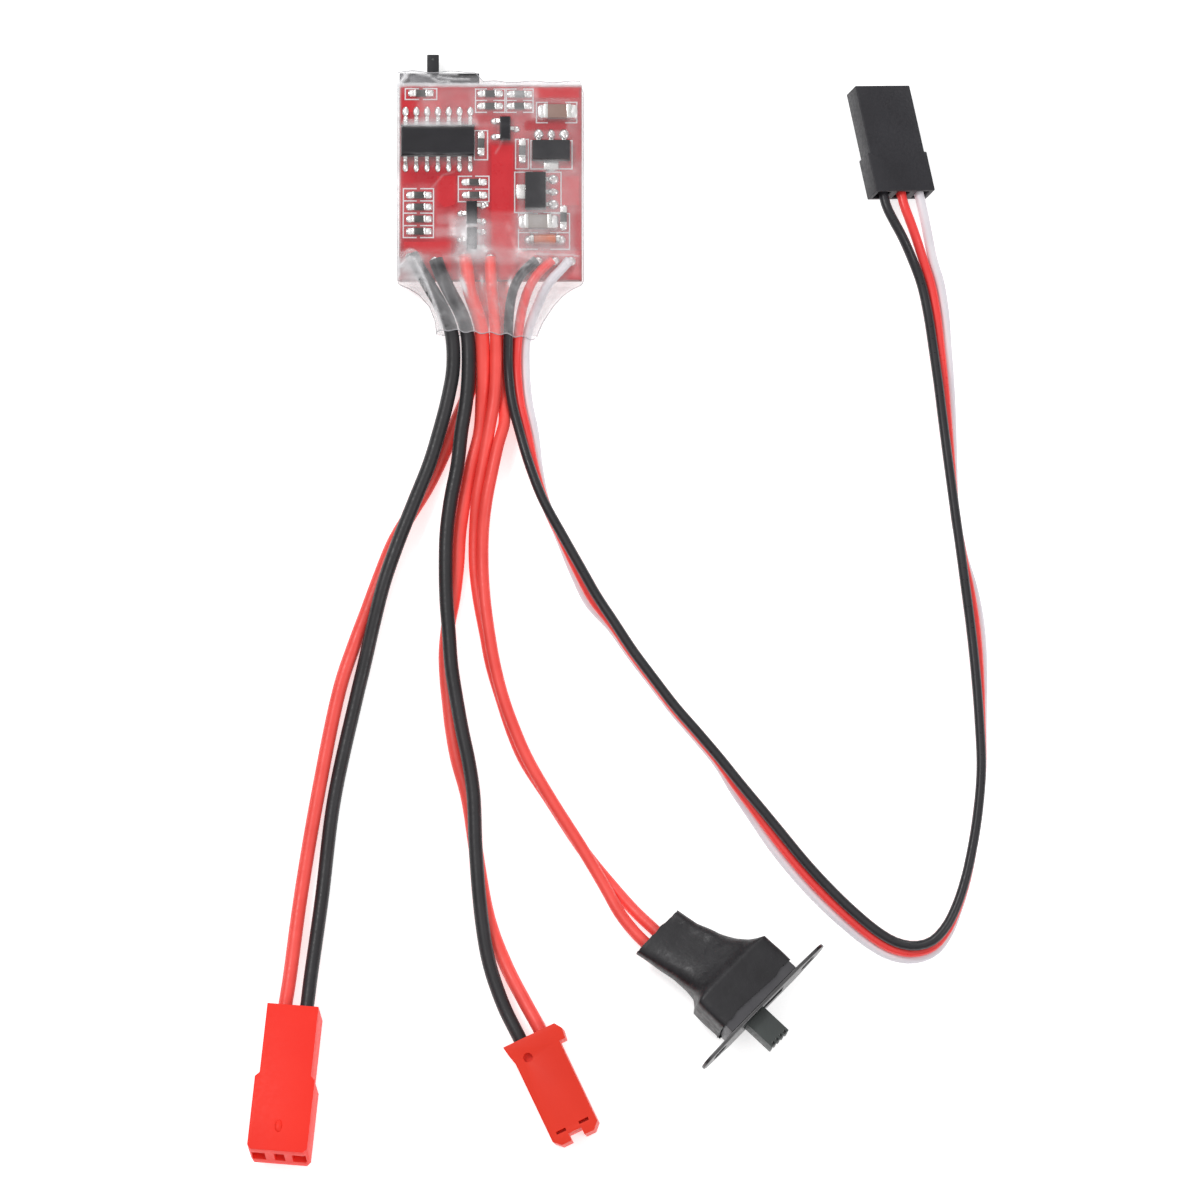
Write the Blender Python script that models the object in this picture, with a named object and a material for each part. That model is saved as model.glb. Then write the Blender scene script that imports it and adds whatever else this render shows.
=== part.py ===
"""Brushed-motor electronic speed controller: board in a clear sleeve, nine wires, three plugs, a switch.

The board lies flat. X runs across it, +Y points to the brake lever, the wires leave towards -Y, and
z = 0 is the surface that the controller lies on. Lengths below are in millimetres.
"""
import math

import bmesh
import bpy
from mathutils import Matrix, Vector

MM = 0.001

# Board
BOARD_W = 21.5
BOARD_Y0 = -11.6
BOARD_Y1 = 11.9
BOARD_BOTTOM = 2.7
BOARD_T = 1.0
BOARD_TOP = BOARD_BOTTOM + BOARD_T
SEAT_GAP = 0.04            # left between parts that touch on the real board

# Chips, in their package standards
LEAD_T = 0.18
SOIC_BODY_W = 3.9
SOIC_SPAN = 6.0
SOIC_PITCH = 1.27
SOIC_H = 1.45
SOT89_BODY = (4.5, 2.5, 1.5)
SOT89_PITCH = 1.5
SOT23_BODY = (1.3, 2.9, 1.0)
SOT23_PITCH = 1.9
CHIP_0603 = (1.6, 0.8, 0.5)
CHIP_1206 = (3.2, 1.7, 1.2)
DIODE_D = 1.4
DIODE_L = 3.6

# Clear sleeve
FILM = 0.25
SLEEVE_HALF = 11.12
SLEEVE_TOP = 5.95
SLEEVE_Y1 = 12.1

# Brake switch, hanging under the board
BRAKE_X = -6.05
BRAKE_W = 9.4
BRAKE_Y0 = 9.4
BRAKE_Y1 = 13.5
BRAKE_Z0 = 0.4
BRAKE_H = 2.26
BRAKE_WALL = 0.25
BRAKE_LEVER_W = 1.4
BRAKE_LEVER_T = 1.0
BRAKE_LEVER_Y = 15.9
BRAKE_REST = -6.82
BRAKE_TRAVEL = 1.54
SLIDE_GAP = 0.12

# Wires
POWER_WIRE = 1.65
SWITCH_WIRE = 1.4
SERVO_WIRE = 1.15

# Battery plug, along its own axis from the wire end
BATTERY_L = 17.7
BATTERY_STEP = 8.4
BATTERY_W = (6.0, 7.0)
BATTERY_T = 5.6
PLUG_PITCH = 2.5

# Motor plug
MOTOR_L = 13.2
MOTOR_W = 5.75
MOTOR_T = 4.6

# Receiver plug
SERVO_L = 13.6
SERVO_W = 7.8
SERVO_T = 2.6
SERVO_FLANGE = 0.3
SERVO_FLANGE_L = 5.0
SERVO_PITCH = 2.54

# Power switch, along its own lever axis
SWITCH_PLATE = (0.4, 20.6, 5.6)
SWITCH_HOLES = 15.0
SWITCH_HOLE_D = 2.2
SWITCH_BODY = (5.0, 10.9, 5.4)
SWITCH_WALL = 0.35
SWITCH_LEVER = (4.0, 2.9, 2.4)
SWITCH_TRAVEL = 3.4
SWITCH_SLEEVE_T = 0.35
TERMINAL_PITCH = 2.7
TERMINAL_END = 7.4


def clear_scene():
    for obj in list(bpy.data.objects):
        bpy.data.objects.remove(obj, do_unlink=True)


def material(name, colour, roughness, metallic=0.0, alpha=1.0):
    mat = bpy.data.materials.new(name)
    mat.use_nodes = True
    shader = mat.node_tree.nodes["Principled BSDF"]
    shader.inputs["Base Color"].default_value = (*colour, 1.0)
    shader.inputs["Roughness"].default_value = roughness
    shader.inputs["Metallic"].default_value = metallic
    shader.inputs["Alpha"].default_value = alpha
    mat.diffuse_color = (*colour, alpha)
    return mat


def place(origin, yaw=0.0, pitch=0.0, roll=0.0):
    """A frame at origin: yaw about Z, then pitch about its Y, then roll about its X (degrees)."""
    turn = Matrix.Rotation(math.radians(yaw), 4, "Z")
    turn = turn @ Matrix.Rotation(math.radians(pitch), 4, "Y")
    turn = turn @ Matrix.Rotation(math.radians(roll), 4, "X")
    return Matrix.Translation(Vector(origin) * MM) @ turn


def add_object(name, bm, mat, frame=None):
    mesh = bpy.data.meshes.new(name)
    bmesh.ops.recalc_face_normals(bm, faces=bm.faces)
    bm.to_mesh(mesh)
    bm.free()
    obj = bpy.data.objects.new(name, mesh)
    bpy.context.scene.collection.objects.link(obj)
    if mat:
        mesh.materials.append(mat)
    if frame is not None:
        obj.matrix_world = frame
    return obj


def box_mesh(size, centre, bevel=0.0):
    """A box in millimetres, with its edges chamfered when bevel is given."""
    bm = bmesh.new()
    bmesh.ops.create_cube(bm, size=1.0)
    bmesh.ops.scale(bm, vec=Vector(size) * MM, verts=bm.verts)
    bmesh.ops.translate(bm, vec=Vector(centre) * MM, verts=bm.verts)
    if bevel:
        bmesh.ops.bevel(bm, geom=bm.edges, offset=bevel * MM, segments=1, affect="EDGES")
    return bm


def prism_mesh(outline, z0, z1):
    """An outline of (x, y) millimetre points carried from z0 to z1."""
    bm = bmesh.new()
    low = [bm.verts.new((x * MM, y * MM, z0 * MM)) for x, y in outline]
    high = [bm.verts.new((x * MM, y * MM, z1 * MM)) for x, y in outline]
    bm.faces.new(low)
    bm.faces.new(high)
    for i in range(len(outline)):
        j = (i + 1) % len(outline)
        bm.faces.new((low[i], low[j], high[j], high[i]))
    return bm


def circle(x, y, radius, count):
    """Points (x, y) evenly round a circle."""
    turns = [2 * math.pi * i / count for i in range(count)]
    return [(x + radius * math.cos(a), y + radius * math.sin(a)) for a in turns]


def loft_mesh(rings):
    """A closed skin through rings of equal length, capped at both ends."""
    bm = bmesh.new()
    loops = [[bm.verts.new(Vector(p) * MM) for p in ring] for ring in rings]
    count = len(rings[0])
    for a, b in zip(loops, loops[1:]):
        for i in range(count):
            j = (i + 1) % count
            bm.faces.new((a[i], a[j], b[j], b[i]))
    bm.faces.new(loops[0])
    bm.faces.new(loops[-1])
    return bm


def tube_mesh(outer, inner):
    """A pipe between matching outer and inner rings, open at both ends."""
    bm = bmesh.new()
    out = [[bm.verts.new(Vector(p) * MM) for p in ring] for ring in outer]
    inn = [[bm.verts.new(Vector(p) * MM) for p in ring] for ring in inner]
    count = len(outer[0])
    for skin in (out, inn):
        for a, b in zip(skin, skin[1:]):
            for i in range(count):
                j = (i + 1) % count
                bm.faces.new((a[i], a[j], b[j], b[i]))
    for end in (0, -1):
        for i in range(count):
            j = (i + 1) % count
            bm.faces.new((out[end][i], out[end][j], inn[end][j], inn[end][i]))
    return bm


def hidden_tool(name, bm, frame=None):
    tool = add_object(name, bm, None, frame)
    tool.hide_render = True
    tool.display_type = "WIRE"
    return tool


def apply_boolean(target, tools, operation):
    """Join or cut with each tool in turn, then drop the tools."""
    for tool in tools:
        mod = target.modifiers.new("Boolean", "BOOLEAN")
        mod.operation = operation
        mod.solver = "EXACT"
        mod.object = tool
        bpy.context.view_layer.update()
        graph = bpy.context.evaluated_depsgraph_get()
        mesh = bpy.data.meshes.new_from_object(target.evaluated_get(graph))
        target.modifiers.clear()
        old = target.data
        target.data = mesh
        bpy.data.meshes.remove(old)
        bpy.data.objects.remove(tool, do_unlink=True)
    return target


def join(target, meshes, frame=None):
    return apply_boolean(target, [hidden_tool("join_tool", bm, frame) for bm in meshes], "UNION")


def cut(target, meshes, frame=None):
    return apply_boolean(target, [hidden_tool("cut_tool", bm, frame) for bm in meshes], "DIFFERENCE")


# ---------------------------------------------------------------- board and its parts

def gull_lead(x, y_body, y_toe, width, z_exit):
    """A gull-wing lead along Y: out of the body at z_exit, down, and along the board to its toe."""
    side = 1.0 if y_toe > y_body else -1.0
    knee = y_body + 0.3 * side
    heel = y_body + 0.5 * side
    profile = [
        (y_body - 0.15 * side, z_exit),
        (knee + 0.1 * side, z_exit),
        (heel + 0.08 * side, LEAD_T),
        (y_toe, LEAD_T),
        (y_toe, 0.0),
        (heel, 0.0),
        (knee, z_exit - LEAD_T),
        (y_body - 0.15 * side, z_exit - LEAD_T),
    ]
    bm = bmesh.new()
    left = [bm.verts.new(((x - width / 2) * MM, y * MM, z * MM)) for y, z in profile]
    right = [bm.verts.new(((x + width / 2) * MM, y * MM, z * MM)) for y, z in profile]
    bm.faces.new(left)
    bm.faces.new(right)
    for i in range(len(profile)):
        j = (i + 1) % len(profile)
        bm.faces.new((left[i], left[j], right[j], right[i]))
    return bm


def chip_body(size, foot=0.08, draft=0.12):
    """A moulded body: a waist at mid height and drafted sides above and below."""
    length, width, height = size
    middle = (foot + height) / 2
    rings = []
    for z, shrink in ((foot, draft), (middle, 0.0), (height, draft)):
        x = length / 2 - shrink
        y = width / 2 - shrink
        rings.append([(-x, -y, z), (x, -y, z), (x, y, z), (-x, y, z)])
    return loft_mesh(rings)


def soic(name, leads, frame, mat):
    """A small-outline chip with the given number of leads, half on each long side."""
    per_side = leads // 2
    length = per_side * SOIC_PITCH - 0.24 if leads > 8 else 4.9
    chip = add_object(name, chip_body((length, SOIC_BODY_W, SOIC_H)), mat, frame)
    wings = []
    for i in range(per_side):
        x = (i - (per_side - 1) / 2) * SOIC_PITCH
        for side in (-1, 1):
            wings.append(gull_lead(x, side * SOIC_BODY_W / 2, side * SOIC_SPAN / 2, 0.42, SOIC_H * 0.6))
    return join(chip, wings, frame)


def sot89(name, frame, mat):
    """A three-lead package with a cooling tab at its back."""
    length, width, height = SOT89_BODY
    chip = add_object(name, chip_body(SOT89_BODY, foot=0.02), mat, frame)
    tabs = []
    for i in (-1, 0, 1):
        tabs.append(box_mesh((0.48, 1.4, 0.4), (i * SOT89_PITCH, width / 2 + 0.5, 0.2)))
    tabs.append(box_mesh((1.7, 1.4, 0.4), (0, -width / 2 - 0.3, 0.2)))
    return join(chip, tabs, frame)


def sot23(name, frame, mat):
    """A small transistor: one lead on its left side and two on its right."""
    width, length, height = SOT23_BODY
    body = add_object(name, chip_body((width, length, height)), mat, frame)
    quarter = Matrix.Rotation(math.radians(-90), 4, "Z")
    leads = []
    for x, side in ((0.0, -1), (-SOT23_PITCH / 2, 1), (SOT23_PITCH / 2, 1)):
        bm = gull_lead(x, side * width / 2, side * (width / 2 + 0.7), 0.42, height * 0.6)
        bmesh.ops.transform(bm, matrix=quarter, verts=bm.verts)
        leads.append(bm)
    return join(body, leads, frame)


def chip_part(name, size, frame, mat):
    """A leadless chip resistor or capacitor with its edges broken."""
    return add_object(name, box_mesh(size, (0, 0, size[2] / 2), bevel=0.06), mat, frame)


def build_board():
    mat = material("board_red", (0.52, 0.02, 0.04), 0.35)
    size = (BOARD_W, BOARD_Y1 - BOARD_Y0, BOARD_T)
    centre = (0, (BOARD_Y0 + BOARD_Y1) / 2, BOARD_BOTTOM + BOARD_T / 2)
    add_object("circuit_board", box_mesh(size, centre), mat)


def on_board(x, y, turn=0.0):
    return place((x, y, BOARD_TOP + SEAT_GAP), turn)


def under_board(x, y, turn=0.0):
    """A frame on the underside of the board, upside down."""
    return place((x, y, BOARD_BOTTOM - SEAT_GAP), turn, roll=180)


def build_chips():
    soic("control_chip", 14, on_board(-6.2, 5.0), material("chip_plastic", (0.045, 0.042, 0.048), 0.5))
    sot89("regulator_a", on_board(7.14, 3.8), material("regulator_a_plastic", (0.05, 0.048, 0.055), 0.5))
    plastic = material("regulator_b_plastic", (0.05, 0.048, 0.055), 0.5)
    sot89("regulator_b", on_board(5.3, -1.05, -90), plastic)
    places = ((1.73, 6.5, 180), (-2.2, -3.65, 0), (-2.2, -6.8, 0))
    for number, (x, y, turn) in enumerate(places, 1):
        plastic = material(f"transistor_{number}_plastic", (0.05, 0.05, 0.055), 0.5)
        sot23(f"transistor_{number}", on_board(x, y, turn), plastic)
    places = ((-5.3, 3.3), (5.3, 5.0), (-5.3, -3.6), (5.3, -2.4))
    for number, (x, y) in enumerate(places, 1):
        plastic = material(f"bridge_mosfet_{number}_plastic", (0.04, 0.04, 0.045), 0.5)
        soic(f"bridge_mosfet_{number}", 8, under_board(x, y, 90), plastic)


def build_passives():
    brown = material("capacitor_brown", (0.30, 0.19, 0.15), 0.5)
    grey = material("capacitor_grey", (0.36, 0.32, 0.29), 0.5)
    chip_part("filter_capacitor_1", CHIP_1206, on_board(7.87, 8.5), brown)
    chip_part("filter_capacitor_2", CHIP_1206, on_board(5.6, -4.75), grey)
    glass = material("diode_glass", (0.75, 0.3, 0.12), 0.12)
    bm = bmesh.new()
    radius = DIODE_D / 2 * MM
    bmesh.ops.create_cone(bm, segments=16, radius1=radius, radius2=radius, depth=DIODE_L * MM, cap_ends=True)
    bmesh.ops.rotate(bm, matrix=Matrix.Rotation(math.radians(90), 3, "Y"), verts=bm.verts)
    bmesh.ops.translate(bm, vec=(0, 0, radius), verts=bm.verts)
    add_object("diode", bm, glass, on_board(6.4, -6.85))
    places = (
        (-8.38, -1.45, 0), (-8.38, -2.87, 0), (-8.38, -4.32, 0), (-8.38, -5.8, 0),
        (-1.9, 0.1, 0), (-1.85, -1.45, 0), (-8.2, 10.8, 0),
        (-0.05, 10.75, 0), (-0.05, 9.25, 0), (3.45, 10.7, 0), (3.4, 9.25, 0),
        (-1.1, 4.75, 90), (3.75, 3.9, 90), (8.6, -4.15, 90),
    )
    for number, (x, y, turn) in enumerate(places, 1):
        ceramic = material(f"chip_part_{number}_ceramic", (0.05, 0.05, 0.05), 0.45)
        chip_part(f"chip_part_{number}", CHIP_0603, on_board(x, y, turn), ceramic)


# ---------------------------------------------------------------- brake switch

def build_brake_switch():
    """A slide switch whose lever leaves through a slot in the front wall of its metal shell."""
    steel = material("brake_shell_steel", (0.42, 0.42, 0.44), 0.35, 1.0)
    black = material("brake_base_black", (0.03, 0.03, 0.03), 0.5)
    lever_black = material("brake_lever_black", (0.025, 0.025, 0.028), 0.45)
    depth = BRAKE_Y1 - BRAKE_Y0
    y_mid = (BRAKE_Y0 + BRAKE_Y1) / 2
    z_mid = BRAKE_Z0 + BRAKE_H / 2
    block = box_mesh((BRAKE_W, depth, BRAKE_H), (BRAKE_X, y_mid, z_mid))
    shell = add_object("brake_switch_shell", block, steel)
    inner_w = BRAKE_W - 2 * BRAKE_WALL
    inner_h = BRAKE_H - 2 * BRAKE_WALL
    hollow = box_mesh((inner_w, depth, inner_h), (BRAKE_X, y_mid - BRAKE_WALL, z_mid))
    slot_w = BRAKE_LEVER_W + BRAKE_TRAVEL + 2 * SLIDE_GAP
    slot_x = BRAKE_REST + BRAKE_TRAVEL / 2
    slot = box_mesh((slot_w, 2.0, BRAKE_LEVER_T + 2 * SLIDE_GAP), (slot_x, BRAKE_Y1, z_mid))
    cut(shell, [hollow, slot])

    plate_d = 1.2
    plate_y = BRAKE_Y1 - BRAKE_WALL - SLIDE_GAP - plate_d / 2
    base_y1 = plate_y - plate_d / 2 - SLIDE_GAP
    base_size = (inner_w - 0.1, base_y1 - BRAKE_Y0, inner_h - 0.1)
    base_y = (BRAKE_Y0 + base_y1) / 2
    add_object("brake_switch_base", box_mesh(base_size, (BRAKE_X, base_y, z_mid)), black)

    frame = place((BRAKE_REST, plate_y, z_mid))
    plate = box_mesh((5.4, plate_d, inner_h - 2 * SLIDE_GAP), (0, 0, 0))
    lever_y0 = plate_d / 2 - 0.2
    lever_y1 = BRAKE_LEVER_Y - plate_y
    lever_size = (BRAKE_LEVER_W, lever_y1 - lever_y0, BRAKE_LEVER_T)
    lever = box_mesh(lever_size, (0, (lever_y0 + lever_y1) / 2, 0), bevel=0.08)
    slider = add_object("brake_slider", plate, lever_black, frame)
    join(slider, [lever], frame)


# ---------------------------------------------------------------- clear sleeve

def rounded_section(y, x0, x1, z0, z1, radius):
    """Points of a rounded rectangle across Y, the same number at each station."""
    corners = ((x1, z0, -90), (x1, z1, 0), (x0, z1, 90), (x0, z0, 180))
    points = []
    for x, z, start in corners:
        cx = x - radius if x == x1 else x + radius
        cz = z + radius if z == z0 else z - radius
        for step in range(3):
            angle = math.radians(start + 45 * step)
            points.append((cx + radius * math.cos(angle), y, cz + radius * math.sin(angle)))
    return points


def build_sleeve():
    """A shrunk tube: a flat box round the board, then a neck that draws in round the wires."""
    clear = material("sleeve_clear", (0.92, 0.9, 0.9), 0.25, alpha=0.35)
    half = SLEEVE_HALF
    stations = (
        # y, left, right, underside, top
        (SLEEVE_Y1, -half, half, 0.0, SLEEVE_TOP),
        (-7.0, -half, half, 0.0, SLEEVE_TOP),
        (-11.9, -half, half, 0.0, 5.9),
        (-12.6, -10.3, 9.9, 0.0, 5.8),
        (-13.6, -9.0, 8.2, 0.0, 5.6),
        (-15.2, -7.4, 6.6, 0.0, 5.1),
        (-16.6, -6.4, 5.7, 0.0, 4.7),
        (-17.6, -6.0, 5.25, 0.0, 4.5),
    )
    outer = [rounded_section(y, x0, x1, z0, z1, 0.9) for y, x0, x1, z0, z1 in stations]
    inner = []
    for y, x0, x1, z0, z1 in stations:
        inner.append(rounded_section(y, x0 + FILM, x1 - FILM, z0 + FILM, z1 - FILM, 0.35))
    add_object("clear_sleeve", tube_mesh(outer, inner), clear)


# ---------------------------------------------------------------- wires

WIRES = {
    "battery_black": (POWER_WIRE, "black", (
        (-9.3, -8.7, 4.62), (-8.6, -10.0, 4.62), (-7.15, -12.5, 4.62), (-5.55, -15.2, 3.9),
        (-4.6, -17.6, 3.32), (-4.35, -21.8, 3.0), (-5.0, -25.7, 2.8), (-6.0, -29.6, 2.7),
        (-7.1, -33.3, 2.7), (-8.9, -37.9, 2.7), (-10.8, -42.8, 2.7), (-12.4, -47.5, 2.55),
        (-13.6, -52.2, 2.0), (-14.7, -57.0, 1.35), (-15.7, -61.2, 0.98), (-18.2, -73.0, 0.92),
        (-19.6, -84.8, 1.05), (-20.85, -94.5, 2.6), (-21.2, -97.6, 3.1), (-21.75, -101.5, 3.7))),
    "battery_red": (POWER_WIRE, "red", (
        (-1.1, -9.0, 1.75), (-0.95, -12.0, 1.6), (-1.05, -17.2, 1.2), (-1.9, -21.2, 0.87),
        (-2.6, -24.6, 0.85), (-3.9, -27.8, 0.85), (-5.7, -32.3, 0.85), (-7.4, -35.8, 0.85),
        (-9.4, -39.1, 0.85), (-11.3, -42.4, 0.85), (-12.9, -46.4, 0.85), (-14.5, -50.8, 0.85),
        (-15.9, -54.6, 0.85), (-17.5, -59.5, 0.85), (-20.2, -73.0, 0.85), (-22.1, -84.8, 1.0),
        (-23.3, -94.5, 2.4), (-23.75, -97.6, 2.9), (-24.25, -101.4, 3.5))),
    "motor_black": (POWER_WIRE, "black", (
        (-6.4, -9.3, 4.62), (-5.85, -10.9, 4.62), (-4.88, -12.9, 4.45), (-3.4, -15.6, 3.35),
        (-2.74, -17.7, 2.85), (-2.55, -21.7, 2.8), (-2.8, -25.7, 2.65), (-3.4, -29.6, 2.6),
        (-3.85, -33.6, 2.6), (-4.6, -37.5, 2.6), (-5.1, -41.5, 2.6), (-5.2, -45.5, 2.6),
        (-5.1, -49.5, 2.6), (-4.8, -53.4, 2.6), (-4.5, -57.4, 2.6), (-4.0, -60.7, 2.6),
        (-3.2, -65.2, 2.6), (-2.5, -68.5, 2.6), (-1.9, -72.5, 2.6), (-1.6, -79.3, 2.6),
        (-0.9, -87.4, 2.6), (0.0, -92.6, 2.5), (1.7, -97.6, 2.6), (3.5, -101.3, 2.9),
        (5.0, -104.4, 2.84))),
    "motor_red": (POWER_WIRE, "red", (
        (-3.0, -8.8, 4.62), (-2.75, -10.6, 4.62), (-2.45, -12.9, 4.5), (-1.5, -15.6, 3.5),
        (-1.0, -17.6, 2.92), (-0.85, -21.7, 2.3), (-0.95, -25.5, 1.4), (-1.2, -29.3, 0.95),
        (-2.2, -33.2, 0.85), (-3.0, -37.2, 0.85), (-3.6, -41.1, 0.85), (-3.85, -45.2, 0.85),
        (-4.3, -49.1, 0.85), (-4.9, -52.3, 0.85), (-5.2, -55.5, 0.85), (-5.1, -58.5, 0.85),
        (-4.8, -61.5, 0.85), (-4.4, -64.9, 0.85), (-3.8, -68.2, 0.85), (-2.6, -72.6, 0.85),
        (-1.6, -79.0, 0.85), (-0.1, -87.1, 0.85), (1.9, -92.5, 1.1), (4.2, -97.2, 2.5),
        (5.8, -100.2, 3.1), (7.25, -103.3, 3.08))),
    "switch_wire_a": (SWITCH_WIRE, "red", (
        (0.0, -9.0, 4.5), (0.05, -10.8, 4.5), (0.15, -12.7, 4.4), (0.48, -15.6, 3.6), (0.62, -17.6, 3.2),
        (0.65, -21.6, 2.7), (0.5, -25.4, 2.3), (-0.08, -29.0, 2.15), (-0.8, -33.2, 1.8),
        (-1.5, -37.2, 1.5), (-1.8, -41.1, 0.85), (-1.8, -45.2, 0.72), (-1.35, -49.1, 0.72),
        (-0.6, -53.1, 0.72), (0.15, -57.0, 0.72), (1.3, -60.9, 0.72), (2.6, -64.9, 0.72),
        (4.0, -68.2, 0.72), (7.0, -72.9, 0.72), (10.9, -78.9, 0.72), (14.0, -82.8, 0.9),
        (17.0, -86.4, 2.2), (19.4, -88.8, 3.0), (21.35, -90.65, 3.15))),
    "switch_wire_b": (SWITCH_WIRE, "red", (
        (1.5, -9.0, 1.85), (1.5, -12.0, 1.7), (1.3, -17.2, 1.3), (1.2, -21.3, 0.9), (1.5, -24.6, 0.95),
        (1.64, -26.6, 1.4), (1.66, -28.3, 1.95), (0.95, -31.0, 2.45), (0.25, -34.3, 2.6),
        (-0.4, -37.7, 2.5), (-0.8, -41.2, 2.0), (-0.85, -45.4, 1.9), (-0.6, -49.4, 2.15),
        (-0.1, -53.3, 2.25), (0.6, -57.3, 2.25), (1.6, -61.2, 2.25), (3.0, -65.1, 2.25),
        (4.5, -68.5, 2.25), (7.2, -73.2, 2.25), (10.9, -79.1, 2.3), (13.4, -83.4, 2.5),
        (15.4, -87.0, 2.9), (17.9, -90.0, 3.4), (20.2, -91.8, 3.55))),
}

# The receiver lead is a flat three-wire ribbon that stands on edge, black on top. Each point gives the
# black wire's x and y, the sideways step from one wire to the next (positive is to the left of the way
# that the lead runs), and the height of the white wire's centre.
RIBBON_PITCH = 1.24
RIBBON = (
    (2.1, -21.5, 1.0, 0.72), (2.5, -25.6, 0.95, 0.66), (3.5, -29.7, 0.85, 0.62), (4.7, -33.8, 0.5, 0.62),
    (6.2, -37.7, 0.15, 0.62), (8.4, -41.8, -0.1, 0.62), (10.7, -45.9, -0.4, 0.62),
    (12.5, -49.1, -0.5, 0.62), (14.5, -52.2, -0.2, 0.62), (16.7, -55.6, -0.12, 0.62),
    (19.2, -59.0, -0.1, 0.62), (21.7, -62.3, -0.1, 0.62), (24.2, -65.2, -0.12, 0.62),
    (26.8, -68.3, -0.15, 0.62), (29.2, -71.3, -0.4, 0.62), (31.6, -74.2, -0.6, 0.62),
    (34.0, -77.1, -0.8, 0.62), (36.6, -80.3, -0.85, 0.62), (39.2, -83.2, -0.85, 0.62),
    (42.2, -86.2, -0.8, 0.62), (45.4, -88.9, -0.75, 0.62), (47.5, -90.1, -0.7, 0.62),
    (49.6, -90.5, -0.6, 0.62), (51.5, -90.0, -0.45, 0.62), (53.1, -88.4, -0.25, 0.62),
    (54.4, -85.9, -0.1, 0.62), (55.5, -82.6, -0.05, 0.62), (56.4, -78.5, 0.0, 0.62),
    (57.0, -74.6, 0.0, 0.62), (57.4, -69.6, -0.05, 0.62), (57.2, -63.9, -0.2, 0.62),
    (56.8, -58.2, -0.45, 0.62), (56.3, -53.1, -0.6, 0.62), (55.7, -48.3, -0.5, 0.62),
    (55.1, -43.7, -0.15, 0.62), (54.4, -38.5, -0.05, 0.62), (53.7, -33.0, -0.3, 0.65),
    (53.1, -28.1, -0.55, 0.8), (52.6, -23.9, -0.7, 1.1), (52.0, -19.6, -0.85, 1.6),
    (51.4, -15.6, -1.0, 2.2), (50.65, -12.1, -1.1, 2.6),
)
# Where each wire of the lead leaves the ribbon for its pad on the board, and for its contact in the plug
LEAD_ENDS = {
    "receiver_black": (
        ((5.4, -9.3, 4.35), (4.0, -10.6, 4.35), (3.1, -11.9, 4.3), (2.5, -13.6, 4.0), (2.2, -15.8, 3.5),
         (2.1, -18.5, 2.9)),
        ((49.7, -9.5, 4.1), (48.4, -6.8, 5.5), (47.2, -4.7, 6.25), (46.5, -3.2, 6.3), (45.75, 0.5, 5.62))),
    "receiver_red": (
        ((7.3, -9.3, 4.35), (5.9, -10.6, 4.35), (5.05, -11.7, 4.4), (4.4, -13.0, 4.15), (3.85, -14.6, 3.4),
         (3.5, -16.2, 2.8), (3.2, -18.5, 2.1)),
        ((50.9, -9.3, 3.6), (49.9, -6.4, 4.7), (49.15, -4.4, 5.25), (48.6, -2.9, 5.3), (47.8, 0.75, 4.62))),
    "receiver_white": (
        ((9.3, -9.3, 4.35), (8.3, -10.5, 4.4), (7.25, -11.6, 4.42), (6.4, -12.8, 4.1), (5.65, -14.3, 3.1),
         (4.93, -15.9, 2.2), (4.15, -18.5, 1.3)),
        ((52.0, -9.0, 3.1), (51.4, -6.2, 3.9), (50.95, -4.0, 4.3), (50.65, -2.6, 4.3), (49.87, 1.0, 3.62))),
}
LEAD_COLOURS = {"receiver_black": "black", "receiver_red": "red", "receiver_white": "white"}


def ribbon_route(rank):
    """The way of one wire of the ribbon: rank 0 is the black wire on top, 2 the white one below."""
    points = []
    for i, (x, y, lean, base) in enumerate(RIBBON):
        before = RIBBON[max(i - 1, 0)]
        after = RIBBON[min(i + 1, len(RIBBON) - 1)]
        along = Vector((after[0] - before[0], after[1] - before[1], 0.0)).normalized()
        left = Vector((-along.y, along.x, 0.0))
        rise = math.sqrt(RIBBON_PITCH ** 2 - lean ** 2)
        points.append(tuple(Vector((x, y, base + (2 - rank) * rise)) + left * lean * rank))
    return tuple(points)


def route_points(route, spacing):
    """Evenly spaced points on a centripetal spline through the route, both ends kept."""
    knots = [Vector(p) for p in route]
    knots = [knots[0] * 2 - knots[1]] + knots + [knots[-1] * 2 - knots[-2]]
    dense = []
    for a, b, c, d in zip(knots, knots[1:], knots[2:], knots[3:]):
        t1 = (b - a).length ** 0.5
        t2 = t1 + (c - b).length ** 0.5
        t3 = t2 + (d - c).length ** 0.5
        for step in range(24):
            t = t1 + (t2 - t1) * step / 24
            ab = a * (t1 - t) / t1 + b * t / t1
            bc = b * (t2 - t) / (t2 - t1) + c * (t - t1) / (t2 - t1)
            cd = c * (t3 - t) / (t3 - t2) + d * (t - t2) / (t3 - t2)
            abc = ab * (t2 - t) / t2 + bc * t / t2
            bcd = bc * (t3 - t) / (t3 - t1) + cd * (t - t1) / (t3 - t1)
            dense.append(abc * (t2 - t) / (t2 - t1) + bcd * (t - t1) / (t2 - t1))
    dense.append(knots[-2])
    total = sum((b - a).length for a, b in zip(dense, dense[1:]))
    count = max(2, round(total / spacing))
    points = [dense[0]]
    walked = 0.0
    for a, b in zip(dense, dense[1:]):
        length = (b - a).length
        while len(points) < count and walked + length >= total * len(points) / count:
            part = (total * len(points) / count - walked) / length
            points.append(a.lerp(b, part))
        walked += length
    return points + [dense[-1]]


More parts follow.
